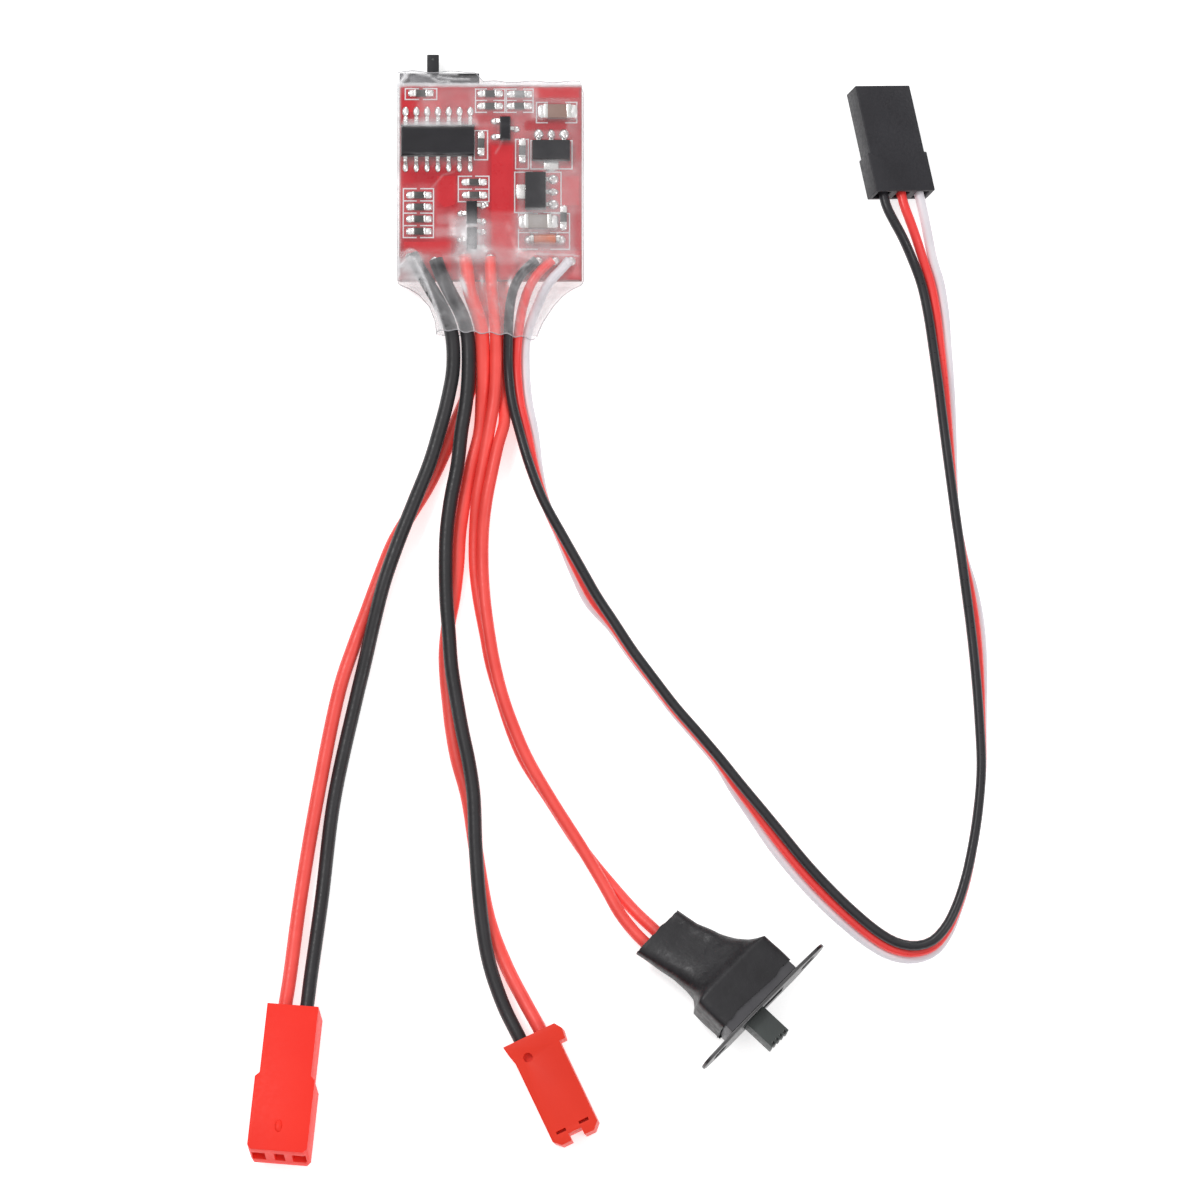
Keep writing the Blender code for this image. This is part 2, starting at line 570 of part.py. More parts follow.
def build_wires():
    colours = {"black": (0.03, 0.028, 0.032), "red": (0.85, 0.09, 0.07), "white": (0.82, 0.8, 0.84)}
    wires = dict(WIRES)
    for rank, (name, (head, tail)) in enumerate(LEAD_ENDS.items()):
        wires[name] = (SERVO_WIRE, LEAD_COLOURS[name], head + ribbon_route(rank) + tail)
    for name, (diameter, colour, route) in wires.items():
        curve = bpy.data.curves.new(name, "CURVE")
        curve.dimensions = "3D"
        curve.bevel_depth = diameter / 2 * MM
        curve.bevel_resolution = 2
        curve.use_fill_caps = True
        points = route_points(route, diameter * 2.2)
        spline = curve.splines.new("POLY")
        spline.points.add(len(points) - 1)
        for point, place_mm in zip(spline.points, points):
            point.co = (*(place_mm * MM), 1.0)
        curve.materials.append(material(f"{name}_insulation", colours[colour], 0.45))
        obj = bpy.data.objects.new(name, curve)
        bpy.context.scene.collection.objects.link(obj)


# ---------------------------------------------------------------- plugs

def build_contacts(name, places, size, bore, frame, mat):
    """One box contact for each (x, y, z) place, bored along X for its pin."""
    for number, centre in enumerate(places, 1):
        contact = add_object(f"{name}_{number}", box_mesh(size, centre), mat, frame)
        if bore:
            cut(contact, [box_mesh((size[0] + 2.0, bore, bore), centre)], frame)


def build_battery_plug():
    """Receptacle housing: a narrow end for the wires, a wider end with three recesses."""
    red = material("battery_plug_red", (0.95, 0.05, 0.035), 0.35)
    brass = material("battery_contact_tin", (0.62, 0.6, 0.55), 0.3, 1.0)
    frame = place((-22.6, -98.3, 3.05), yaw=-95.8, pitch=-8.5, roll=4.5)
    narrow, wide = (w / 2 for w in BATTERY_W)
    step = BATTERY_STEP
    outline = (
        (0, -narrow), (step, -narrow), (step + 0.5, -wide), (BATTERY_L - 0.5, -wide),
        (BATTERY_L, -wide + 0.4), (BATTERY_L, wide - 0.4),
        (BATTERY_L - 0.5, wide), (step + 0.5, wide), (step, narrow), (0, narrow),
    )
    half = BATTERY_T / 2
    housing = add_object("battery_plug_housing", prism_mesh(outline, -half, half), red, frame)
    join(housing, [box_mesh((1.4, 0.8, 0.5), (BATTERY_L - 3.0, -0.1, half), bevel=0.12)], frame)
    tunnels = [box_mesh((30.0, 2.1, 2.5), (-0.2, side * PLUG_PITCH / 2, 0)) for side in (-1, 1)]
    recesses = []
    for y, width in ((-2.35, 1.6), (0.1, 1.2), (2.4, 1.6)):
        recesses.append(box_mesh((6.0, width, 2.6), (BATTERY_L, y, 0)))
    cut(housing, tunnels + recesses, frame)
    places = [(8.0, side * PLUG_PITCH / 2, 0) for side in (-1, 1)]
    build_contacts("battery_contact", places, (7.6, 1.7, 1.9), 0.9, frame, brass)


def build_motor_plug():
    """Plug housing: ears at its wire end, a notch and two windows at its mating end."""
    red = material("motor_plug_red", (0.80, 0.045, 0.02), 0.35)
    tin = material("motor_pin_tin", (0.62, 0.6, 0.55), 0.3, 1.0)
    frame = place((4.8, -101.2, 3.05), yaw=-64.6, pitch=2.0, roll=5.0)
    half_w = MOTOR_W / 2
    half_t = MOTOR_T / 2
    outline = (
        (0, -half_w - 0.5), (1.2, -half_w - 0.3), (2.4, -half_w),
        (MOTOR_L - 0.8, -half_w), (MOTOR_L, -half_w + 0.8),
        (MOTOR_L, -0.85), (MOTOR_L - 0.9, -0.85), (MOTOR_L - 0.9, 0.85), (MOTOR_L, 0.85),
        (MOTOR_L, half_w - 0.8), (MOTOR_L - 0.8, half_w), (2.1, half_w), (2.1, half_w + 0.75),
        (0.9, half_w + 0.95), (0, half_w + 0.35),
    )
    housing = add_object("motor_plug_housing", prism_mesh(outline, -half_t, half_t), red, frame)
    tunnels = [box_mesh((20.0, 2.1, 2.3), (1.0, side * PLUG_PITCH / 2, 0)) for side in (-1, 1)]
    windows = [box_mesh((0.35, 1.2, 2.0), (MOTOR_L - 1.5, side * 1.45, half_t)) for side in (-1, 1)]
    dimple = prism_mesh(circle(2.3, -1.25, 0.55, 8), half_t - 0.8, half_t + 0.5)
    cut(housing, tunnels + windows + [dimple], frame)
    places = [(7.2, side * PLUG_PITCH / 2, 0) for side in (-1, 1)]
    build_contacts("motor_pin", places, (7.4, 0.8, 0.8), 0.0, frame, tin)


def build_receiver_plug():
    """Black three-way housing, resting on one corner with its cable end lifted by the lead."""
    black = material("receiver_plug_black", (0.03, 0.03, 0.035), 0.5)
    brass = material("receiver_contact_brass", (0.72, 0.58, 0.32), 0.3, 1.0)
    along = Vector((-0.195, 0.965, -0.1737)).normalized()
    up = Vector((0.4, 0.24, 0.885))
    across = up.cross(along).normalized()
    up = along.cross(across)
    frame = Matrix((along, across, up)).transposed().to_4x4()
    frame.translation = Vector((48.3, -1.66, 5.05)) * MM
    body = SERVO_W / 2 - SERVO_FLANGE
    full = SERVO_W / 2
    outline = (
        (0, -full), (SERVO_FLANGE_L, -full), (SERVO_FLANGE_L, -body), (SERVO_L, -body),
        (SERVO_L, body), (SERVO_FLANGE_L, body), (SERVO_FLANGE_L, full), (0, full),
    )
    half = SERVO_T / 2
    housing = add_object("receiver_plug_housing", prism_mesh(outline, -half, half), black, frame)
    rows = (SERVO_PITCH, 0.0, -SERVO_PITCH)
    tunnels = [box_mesh((30.0, 1.65, 1.75), (5.0, y, 0)) for y in rows]
    cut(housing, tunnels, frame)
    places = [(7.4, y, 0) for y in rows]
    build_contacts("receiver_contact", places, (8.4, 1.5, 1.4), 0.75, frame, brass)


# ---------------------------------------------------------------- power switch

def ear_outline():
    """The plate seen from the front: a slim body with two rounded ears."""
    half_l = SWITCH_PLATE[1] / 2
    half_h = SWITCH_PLATE[2] / 2
    ear = 2.0
    points = []
    for end in (1, -1):
        centre = end * (half_l - ear)
        start = -90 if end == 1 else 90
        points.append((centre - end * 2.6, -end * half_h))
        for step in range(7):
            angle = math.radians(start + 30 * step)
            points.append((centre + ear * math.cos(angle), ear * math.sin(angle)))
        points.append((centre - end * 2.6, end * half_h))
    return points


def facing_x(bm):
    """Turn a shape drawn in X and Y so that it lies across the lever axis, thickness along X."""
    turn = Matrix(((0, 0, 1, 0), (1, 0, 0, 0), (0, 1, 0, 0), (0, 0, 0, 1)))
    bmesh.ops.transform(bm, matrix=turn, verts=bm.verts)
    return bm


def build_power_switch():
    """A panel slide switch: frame with ears, base, slider, moving contact and three terminals."""
    steel = material("power_switch_frame_steel", (0.5, 0.5, 0.52), 0.3, 1.0)
    base_black = material("power_switch_base_black", (0.03, 0.03, 0.03), 0.5)
    lever_black = material("power_slider_black", (0.05, 0.055, 0.058), 0.45)
    copper = material("power_contact_copper", (0.7, 0.45, 0.3), 0.3, 1.0)
    tin = material("power_terminal_tin", (0.62, 0.6, 0.57), 0.3, 1.0)
    frame = place((31.97, -97.93, 3.9), yaw=-43.4, roll=-9.0)
    plate_t = SWITCH_PLATE[0]
    depth, width, height = SWITCH_BODY
    wall = SWITCH_WALL

    plate = facing_x(prism_mesh(ear_outline(), -plate_t, 0.0))
    body = add_object("power_switch_frame", plate, steel, frame)
    join(body, [box_mesh((depth - 0.1, width, height), (-depth / 2 - 0.05, 0, 0))], frame)
    lever_x, lever_y, lever_z = SWITCH_LEVER
    slot = (3.0, lever_y + SWITCH_TRAVEL + 2 * SLIDE_GAP, lever_z + 2 * SLIDE_GAP)
    inner = (depth, width - 2 * wall, height - 2 * wall)
    cuts = [box_mesh(inner, (-depth / 2 - plate_t, 0, 0)), box_mesh(slot, (0, 0, 0))]
    for side in (-1, 1):
        hole = circle(side * SWITCH_HOLES / 2, 0.0, SWITCH_HOLE_D / 2, 12)
        cuts.append(facing_x(prism_mesh(hole, -2.0, 1.0)))
    cut(body, cuts, frame)

    flange_x0 = -plate_t - SLIDE_GAP
    flange_t = 1.2
    contact_x0 = flange_x0 - flange_t - 0.1
    base_x0 = contact_x0 - 0.3 - 0.15
    base_x1 = -depth
    base_size = (base_x0 - base_x1, inner[1] - 0.1, inner[2] - 0.1)
    block = box_mesh(base_size, ((base_x0 + base_x1) / 2, 0, 0))
    base = add_object("power_switch_base", block, base_black, frame)
    slots = [box_mesh((8.0, 1.5, 0.7), (-3.0, TERMINAL_PITCH * i, 0)) for i in (-1, 0, 1)]
    cut(base, slots, frame)
    for i in (-1, 0, 1):
        centre = ((base_x0 - TERMINAL_END) / 2, TERMINAL_PITCH * i, 0)
        terminal = box_mesh((base_x0 + TERMINAL_END, 1.4, 0.6), centre)
        add_object(f"power_terminal_{i + 2}", terminal, tin, frame)

    rest = frame @ Matrix.Translation((0, -SWITCH_TRAVEL / 2 * MM, 0))
    flange = box_mesh((flange_t, 6.6, inner[2] - 2 * SLIDE_GAP), (flange_x0 - flange_t / 2, 0, 0))
    slider = add_object("power_slider", flange, lever_black, rest)
    lever_x0 = flange_x0 - 0.3
    lever = box_mesh((lever_x - lever_x0, lever_y, lever_z), ((lever_x + lever_x0) / 2, 0, 0), bevel=0.1)
    join(slider, [lever], rest)
    grooves = [box_mesh((0.7, 0.28, lever_z + 1), (lever_x, (i - 1.5) * 0.62, 0)) for i in range(4)]
    cut(slider, grooves, rest)
    add_object("power_moving_contact", box_mesh((0.3, 4.4, 1.6), (contact_x0 - 0.15, 0, 0)), copper, rest)

    stations = (
        # x, middle y, half width, middle z, half height
        (-15.2, -1.9, 3.65, -1.0, 1.35), (-12.5, -1.5, 3.6, -0.8, 1.6), (-9.8, -0.95, 3.9, -0.5, 2.1),
        (-7.9, -0.5, 4.4, -0.2, 2.6), (-6.8, -0.2, 5.1, -0.05, 3.0), (-5.8, 0.0, 5.9, 0.0, 3.15),
        (-4.6, 0.0, 5.9, 0.0, 3.15), (-1.0, 0.0, 5.9, 0.0, 3.15),
    )
    outer = []
    inside = []
    for x, y, half_y, z, half_z in stations:
        for rings, shrink in ((outer, 0.0), (inside, SWITCH_SLEEVE_T)):
            radius = 0.5 - shrink
            y0, y1 = y - half_y + shrink, y + half_y - shrink
            z0, z1 = z - half_z + shrink, z + half_z - shrink
            ring = rounded_section(0.0, y0, y1, z0, z1, radius)
            rings.append([(x, b, c) for b, _, c in ring])
    shrink_black = material("power_switch_sleeve_black", (0.03, 0.028, 0.032), 0.45)
    add_object("power_switch_sleeve", tube_mesh(outer, inside), shrink_black, frame)


def main():
    clear_scene()
    build_board()
    build_chips()
    build_passives()
    build_brake_switch()
    build_sleeve()
    build_wires()
    build_battery_plug()
    build_motor_plug()
    build_receiver_plug()
    build_power_switch()


main()
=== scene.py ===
"""Looks for a sleeved speed controller: board and parts, clear film, nine wires, three plugs, a switch.

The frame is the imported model's: metres, +Z up, +Y towards the brake lever. The tables are in millimetres.
"""

from math import copysign, cos, pi, radians, sin, sqrt

import bmesh
import bpy
import numpy as np
from mathutils import Matrix, Vector, noise


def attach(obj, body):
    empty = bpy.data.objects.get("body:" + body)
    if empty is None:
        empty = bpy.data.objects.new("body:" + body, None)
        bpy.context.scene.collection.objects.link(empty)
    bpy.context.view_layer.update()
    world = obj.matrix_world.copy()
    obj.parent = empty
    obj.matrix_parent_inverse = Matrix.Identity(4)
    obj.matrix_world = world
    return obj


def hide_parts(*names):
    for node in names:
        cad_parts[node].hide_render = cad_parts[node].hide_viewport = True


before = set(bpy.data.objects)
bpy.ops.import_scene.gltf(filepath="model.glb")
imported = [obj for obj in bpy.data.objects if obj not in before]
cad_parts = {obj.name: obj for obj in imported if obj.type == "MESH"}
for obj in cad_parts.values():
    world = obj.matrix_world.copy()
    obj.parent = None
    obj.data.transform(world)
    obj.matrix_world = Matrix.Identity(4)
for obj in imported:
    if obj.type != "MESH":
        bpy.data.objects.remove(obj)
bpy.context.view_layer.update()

MM = 0.001
ROOT = "controller"
BRAKE_BODY = "brake_slider"
POWER_BODY = "power_slider"

BOARD_W = 21.5
BOARD_Y0 = -11.6
BOARD_Y1 = 11.9
BOARD_BOTTOM = 2.7
BOARD_TOP = 3.7
SEAT_GAP = 0.04
CLEARANCE = 0.12         # round a slider, in its shell and in its slot
PART_Z = BOARD_TOP + SEAT_GAP
LARGE_FACE = 0.6e-6      # square metres: a face above this size is flat and shaded flat

CAMERA_TARGET = (12.882, -49.103, 0.0)
CAMERA_ELEVATION = 80.0
CAMERA_DISTANCE = 1.5
CAMERA_LENS = 383.75
FLOOR_Z = -0.02
MATS = {}                # every material by its short name, filled by main()
# Each lamp: where it stands in metres, the size of its disk and its power in watts
LAMPS = {
    "key": ((-0.35, 0.25, 0.75), 0.22, 2.2),
    "fill": ((0.55, -0.30, 0.55), 0.30, 1.2),
    "back": ((0.10, 0.70, 0.45), 0.25, 1.0),
}


def add_object(name, data):
    obj = bpy.data.objects.new(name, data)
    bpy.context.scene.collection.objects.link(obj)
    return obj


def as_mesh(name, bm, outward=True):
    """Mesh data from a bmesh, which is freed. Its faces are turned outward first."""
    if outward:
        bmesh.ops.recalc_face_normals(bm, faces=bm.faces)
    mesh = bpy.data.meshes.new(name)
    bm.to_mesh(mesh)
    bm.free()
    return mesh


# ---- shader nodes

def new_material(name):
    """A material, its node tree and its shader."""
    mat = bpy.data.materials.new(name)
    mat.use_nodes = True
    return mat, mat.node_tree, mat.node_tree.nodes["Principled BSDF"]


def fill(node, values):
    """Set inputs by name."""
    for name, value in values.items():
        node.inputs[name].default_value = value


def ramp_node(tree, source, low, high):
    """A ramp between two (position, colour) stops, driven by source."""
    node = tree.nodes.new("ShaderNodeValToRGB")
    for stop, (position, colour) in zip(node.color_ramp.elements, (low, high)):
        stop.position = position
        stop.color = (*colour, 1.0)
    tree.links.new(source, node.inputs["Fac"])
    return node.outputs["Color"]


def noise_node(tree, scale, detail=2.0):
    """Noise in the object's own coordinates."""
    where = tree.nodes.new("ShaderNodeTexCoord")
    node = tree.nodes.new("ShaderNodeTexNoise")
    fill(node, {"Scale": scale, "Detail": detail})
    tree.links.new(where.outputs["Object"], node.inputs["Vector"])
    return node.outputs["Fac"]


def spread_node(tree, source, low, high):
    """The middle part of a noise, spread from low to high."""
    node = tree.nodes.new("ShaderNodeMapRange")
    fill(node, {"From Min": 0.3, "From Max": 0.7, "To Min": low, "To Max": high})
    tree.links.new(source, node.inputs["Value"])
    return node.outputs["Result"]


def bump_node(tree, source, depth, strength):
    """Relief from a noise, depth in millimetres."""
    node = tree.nodes.new("ShaderNodeBump")
    fill(node, {"Strength": strength, "Distance": depth * MM})
    tree.links.new(source, node.inputs["Height"])
    return node.outputs["Normal"]


# ---- camera, floor and light

def aim(obj, target):
    way = Vector(target) - obj.location
    obj.rotation_euler = way.to_track_quat("-Z", "Y").to_euler()


def build_camera():
    target = Vector(CAMERA_TARGET) * MM
    elevation = radians(CAMERA_ELEVATION)
    data = bpy.data.cameras.new("camera")
    data.lens = CAMERA_LENS
    data.sensor_width = 36.0
    data.clip_end = 10.0
    camera = add_object("camera", data)
    camera.location = target + Vector((0, -cos(elevation), sin(elevation))) * CAMERA_DISTANCE
    aim(camera, target)
    bpy.context.scene.camera = camera


def build_sky():
    """A pale sky that darkens below the horizon."""
    world = bpy.data.worlds.new("studio")
    world.use_nodes = True
    tree = world.node_tree
    where = tree.nodes.new("ShaderNodeTexCoord")
    split = tree.nodes.new("ShaderNodeSeparateXYZ")
    tree.links.new(where.outputs["Generated"], split.inputs["Vector"])
    sky = ramp_node(tree, split.outputs["Z"], (0.25, (0.10, 0.10, 0.105)), (0.85, (1.0, 1.0, 1.0)))
    background = tree.nodes["Background"]
    background.inputs["Strength"].default_value = 0.80
    tree.links.new(sky, background.inputs["Color"])
    bpy.context.scene.world = world


def build_studio():
    bpy.context.scene.view_settings.view_transform = "Standard"
    build_sky()
    middle = (0.01, -0.04, 0.0)
    for name, (stand, size, watts) in LAMPS.items():
        data = bpy.data.lights.new(name, "AREA")
        data.shape = "DISK"
        data.size = size
        data.energy = watts
        lamp = add_object(name, data)
        lamp.location = stand
        aim(lamp, middle)
    bm = bmesh.new()
    bmesh.ops.create_grid(bm, x_segments=1, y_segments=1, size=3.0)
    floor = add_object("floor", as_mesh("floor", bm, outward=False))
    floor.location.z = FLOOR_Z * MM
    mat, _, shader = new_material("floor_pale")
    fill(shader, {
        "Base Color": (0.93, 0.93, 0.93, 1.0), "Roughness": 0.9, "Specular IOR Level": 0.1,
        "Emission Color": (1.0, 1.0, 1.0, 1.0), "Emission Strength": 0.55,
    })
    floor.data.materials.append(mat)


# ---- materials

def mottled(name, colour, shade, roughness=0.45, spread=0.12, grain=1500.0, bump=0.02, metallic=0.0,
            specular=0.5, coat=0.0, patch=220.0, alpha=1.0):
    """A surface whose colour, roughness and height all vary: patches, then a fine grain."""
    mat, tree, shader = new_material(name)
    fill(shader, {
        "Metallic": metallic, "Specular IOR Level": specular, "Coat Weight": coat, "Coat Roughness": 0.2,
        "Alpha": alpha,
    })
    patches = noise_node(tree, patch, 3.0)
    fine = noise_node(tree, grain, 4.0)
    rough = spread_node(tree, fine, max(0.02, roughness - spread), min(1.0, roughness + spread))
    tree.links.new(ramp_node(tree, patches, (0.3, shade), (0.68, colour)), shader.inputs["Base Color"])
    tree.links.new(rough, shader.inputs["Roughness"])
    tree.links.new(bump_node(tree, fine, bump, 1.0), shader.inputs["Normal"])
    mat.diffuse_color = (*colour, alpha)
    return mat


def film_material():
    """Clear film: how milky it is comes from the mesh's own haze attribute, with a fine cloudy noise. On
    flecks, creases and folds that milk is a painted highlight.
    """
    mat, tree, shader = new_material("clear_film")
    fill(shader, {"Base Color": (0.93, 0.92, 0.94, 1.0), "Roughness": 0.24, "Specular IOR Level": 0.6})
    haze_and_highlight = tree.nodes.new("ShaderNodeAttribute")
    haze_and_highlight.attribute_name = "haze_and_highlight"
    alpha = tree.nodes.new("ShaderNodeMath")
    alpha.operation = "MULTIPLY"
    alpha.use_clamp = True
    tree.links.new(haze_and_highlight.outputs["Fac"], alpha.inputs[0])
    tree.links.new(spread_node(tree, noise_node(tree, 650.0, 4.0), 0.78, 1.18), alpha.inputs[1])
    tree.links.new(alpha.outputs["Value"], shader.inputs["Alpha"])
    tree.links.new(bump_node(tree, noise_node(tree, 1800.0), 0.02, 0.6), shader.inputs["Normal"])
    return mat


def build_materials():
    return {
        "mask": mottled("board_mask", (0.57, 0.018, 0.030), (0.42, 0.010, 0.020), 0.34, patch=260.0,
                        specular=0.25),
        "pour": mottled("board_pour", (0.66, 0.022, 0.032), (0.57, 0.017, 0.026), 0.34, patch=180.0,
                        specular=0.2),
        "edge": mottled("board_edge", (0.36, 0.10, 0.09), (0.22, 0.05, 0.05), 0.7, grain=5000.0, bump=0.03),
        "ink": mottled("board_ink", (0.80, 0.74, 0.76), (0.66, 0.58, 0.60), 0.6, bump=0.008),
        # Solder; the same material paints highlights on some chip leads.
        "solder_and_glint": mottled("solder_and_glint", (0.95, 0.94, 0.93), (0.86, 0.85, 0.84), 0.30, 0.06, 900.0, 0.012, 1.0),
        "tin": mottled("tinned_lead", (0.82, 0.81, 0.79), (0.70, 0.69, 0.67), 0.3, 0.1, 1200.0, 0.010, 1.0),
        "epoxy": mottled("chip_epoxy", (0.020, 0.019, 0.023), (0.014, 0.013, 0.016), 0.6, grain=9000.0,
                         bump=0.012, specular=0.2),
        "ceramic": mottled("ceramic_black", (0.066, 0.062, 0.058), (0.030, 0.028, 0.027), 0.4, patch=900.0,
                           specular=0.4),
        "brown": mottled("capacitor_brown", (0.33, 0.20, 0.16), (0.26, 0.15, 0.12), 0.45, grain=6000.0),
        "taupe": mottled("capacitor_taupe", (0.36, 0.31, 0.28), (0.28, 0.24, 0.22), 0.45, grain=6000.0),
        "amber": mottled("diode_amber", (0.72, 0.22, 0.10), (0.50, 0.13, 0.08), 0.15, 0.05, coat=0.8,
                         patch=700.0),
        "steel": mottled("pressed_steel", (0.125, 0.123, 0.130), (0.095, 0.093, 0.100), 0.40, 0.08, 2500.0,
                         0.002, 1.0),
        "plate": mottled("plate_steel", (0.14, 0.138, 0.14), (0.10, 0.098, 0.10), 0.35, 0.08, 2500.0, 0.002,
                         1.0),
        "laminate": mottled("black_laminate", (0.022, 0.021, 0.023), (0.014, 0.014, 0.015), 0.6, grain=7000.0,
                            specular=0.25),
        "lever": mottled("lever_black", (0.022, 0.022, 0.025), (0.015, 0.015, 0.018), 0.42, bump=0.01,
                         specular=0.35),
        # Grey of the power lever; on the brake lever's tip it is a painted highlight.
        "lever_grey": mottled("lever_grey", (0.055, 0.064, 0.061), (0.040, 0.045, 0.044), 0.42, bump=0.015),
        "wire_black": mottled("silicone_black", (0.030, 0.028, 0.031), (0.021, 0.020, 0.022), 0.42, 0.1,
                              2500.0, 0.012, specular=0.4),
        "wire_red": mottled("silicone_red", (1.0, 0.095, 0.078), (0.90, 0.07, 0.056), 0.42, 0.1, 2500.0,
                            0.012),
        "lead_red": mottled("vinyl_red", (0.98, 0.06, 0.055), (0.88, 0.045, 0.042), 0.35, 0.1, 2500.0, 0.008),
        "lead_black": mottled("vinyl_black", (0.028, 0.026, 0.030), (0.020, 0.019, 0.022), 0.35, 0.1, 2500.0,
                              0.008, specular=0.4),
        "lead_white": mottled("vinyl_white", (0.84, 0.80, 0.84), (0.76, 0.72, 0.77), 0.35, 0.1, 2500.0,
                              0.008),
        "battery_red": mottled("plug_bright_red", (1.0, 0.034, 0.018), (0.97, 0.028, 0.015), 0.5, 0.06,
                               2600.0, 0.004, specular=0.25, patch=120.0),
        "motor_red": mottled("plug_deep_red", (0.84, 0.036, 0.013), (0.78, 0.030, 0.011), 0.45, 0.06, 2600.0,
                             0.006, specular=0.3, patch=120.0),
        "plug_black": mottled("plug_black", (0.028, 0.027, 0.032), (0.020, 0.019, 0.023), 0.45, 0.1, 3000.0,
                              0.02, specular=0.4),
        "contact": mottled("contact_tin", (0.62, 0.60, 0.55), (0.45, 0.43, 0.39), 0.35, 0.1, 3000.0, 0.01,
                           1.0),
        "brass": mottled("contact_brass", (0.72, 0.56, 0.30), (0.58, 0.43, 0.22), 0.32, 0.1, 3000.0, 0.01,
                         1.0),
        "copper": mottled("contact_copper", (0.72, 0.42, 0.28), (0.55, 0.30, 0.19), 0.32, 0.1, 3000.0, 0.01,
                          1.0),
        "shrink": mottled("shrink_black", (0.022, 0.021, 0.024), (0.015, 0.014, 0.016), 0.40, 0.1, 1400.0,
                          0.05, specular=0.4, patch=300.0),
        "film_edge": mottled("film_edge", (0.60, 0.59, 0.62), (0.42, 0.41, 0.44), 0.25, alpha=0.6),
        "film": film_material(),
    }


# ---- mesh helpers

def place(origin, yaw=0.0, pitch=0.0, roll=0.0):
    """A frame at origin: yaw about Z, then pitch about its Y, then roll about its X (degrees)."""
    turn = Matrix.Rotation(radians(yaw), 4, "Z")
    turn = turn @ Matrix.Rotation(radians(pitch), 4, "Y")
    turn = turn @ Matrix.Rotation(radians(roll), 4, "X")
    return Matrix.Translation(Vector(origin) * MM) @ turn


def bridge(bm, loops):
    """Faces between each closed loop of vertices and the next."""
    for a, b in zip(loops, loops[1:]):
        for i in range(len(a)):
            j = (i + 1) % len(a)
            bm.faces.new((a[i], a[j], b[j], b[i]))


def box_mesh(size, centre, bevel=0.0, segments=2):
    bm = bmesh.new()
    bmesh.ops.create_cube(bm, size=1.0)
    bmesh.ops.scale(bm, vec=Vector(size) * MM, verts=bm.verts)
    bmesh.ops.translate(bm, vec=Vector(centre) * MM, verts=bm.verts)
    if bevel:
        bmesh.ops.bevel(bm, geom=bm.edges, offset=bevel * MM, segments=segments, profile=0.6, affect="EDGES")
    return bm


def prism_mesh(outline, z0, z1):
    bm = bmesh.new()
    low = [bm.verts.new((x * MM, y * MM, z0 * MM)) for x, y in outline]
    high = [bm.verts.new((x * MM, y * MM, z1 * MM)) for x, y in outline]
    bm.faces.new(low)
    bm.faces.new(high)
    for i in range(len(outline)):
        j = (i + 1) % len(outline)
        bm.faces.new((low[i], low[j], high[j], high[i]))
    bmesh.ops.recalc_face_normals(bm, faces=bm.faces)
    return bm


def circle(x, y, radius, count):
    turns = [2 * pi * i / count for i in range(count)]
    return [(x + radius * cos(a), y + radius * sin(a)) for a in turns]


def dome_mesh(centre, size, power=2.0, square=1.0):
    """A low closed mound, its size across, along and high. High power: flat top. Low square: square sides."""
    rounds = 16
    levels = 5
    bm = bmesh.new()
    rings = []
    for level in range(levels):
        rise = level / levels
        share = (1 - rise ** power) ** (1 / power)
        ring = []
        for i in range(rounds):
            a = 2 * pi * i / rounds
            c, s = cos(a), sin(a)
            x = size[0] / 2 * share * copysign(abs(c) ** square, c)
            y = size[1] / 2 * share * copysign(abs(s) ** square, s)
            ring.append(bm.verts.new(Vector((centre[0] + x, centre[1] + y, centre[2] + size[2] * rise)) * MM))
        rings.append(ring)
    bridge(bm, rings)
    bm.faces.new(list(reversed(rings[0])))
    tip = bm.verts.new(Vector((centre[0], centre[1], centre[2] + size[2])) * MM)
    for i in range(rounds):
        bm.faces.new((rings[-1][i], rings[-1][(i + 1) % rounds], tip))
    return bm


def merge(parts):
    """One bmesh from (bmesh, material index) pairs."""
    whole = bmesh.new()
    for bm, index in parts:
        for face in bm.faces:
            face.material_index = index
        mesh = as_mesh("part", bm, outward=False)
        whole.from_mesh(mesh)
        bpy.data.meshes.remove(mesh)
    return whole


def settle(obj, angle=38.0):
    """Apply the modifiers, then shade smooth with sharp edges and large flat faces kept."""
    bpy.context.view_layer.update()
    graph = bpy.context.evaluated_depsgraph_get()
    mesh = bpy.data.meshes.new_from_object(obj.evaluated_get(graph))
    obj.modifiers.clear()
    old = obj.data
    obj.data = mesh
    mesh.name = obj.name
    bpy.data.meshes.remove(old)
    mesh.polygons.foreach_set("use_smooth", [face.area < LARGE_FACE for face in mesh.polygons])
    mesh.set_sharp_from_angle(angle=radians(angle))


def enlist(obj, body, nodes):
    """Hang the piece on the empty of the body that it rides on, and hide the CAD nodes that it stands for."""
    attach(obj, body)
    if nodes:
        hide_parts(*nodes)


def piece(name, bm, looks, nodes=(), body=ROOT, at=None, cuts=(), soften=0.0):
    """A finished piece: cut, softened, shaded, riding on its body and standing for its CAD nodes."""
    obj = add_object(name, as_mesh(name, bm))
    for look in looks:
        obj.data.materials.append(MATS[look])
    tools = [add_object("tool", as_mesh("tool", cut)) for cut in cuts]
    for tool in tools:
        mod = obj.modifiers.new("cut", "BOOLEAN")
        mod.operation = "DIFFERENCE"
        mod.solver = "EXACT"
        mod.object = tool
    if soften:
        mod = obj.modifiers.new("soften", "BEVEL")
        mod.width = soften * MM
        mod.segments = 3
        mod.limit_method = "ANGLE"
        mod.angle_limit = radians(35)
    settle(obj)
    for tool in tools:
        bpy.data.objects.remove(tool, do_unlink=True)
    if at is not None:
        obj.matrix_world = at
    enlist(obj, body, nodes)


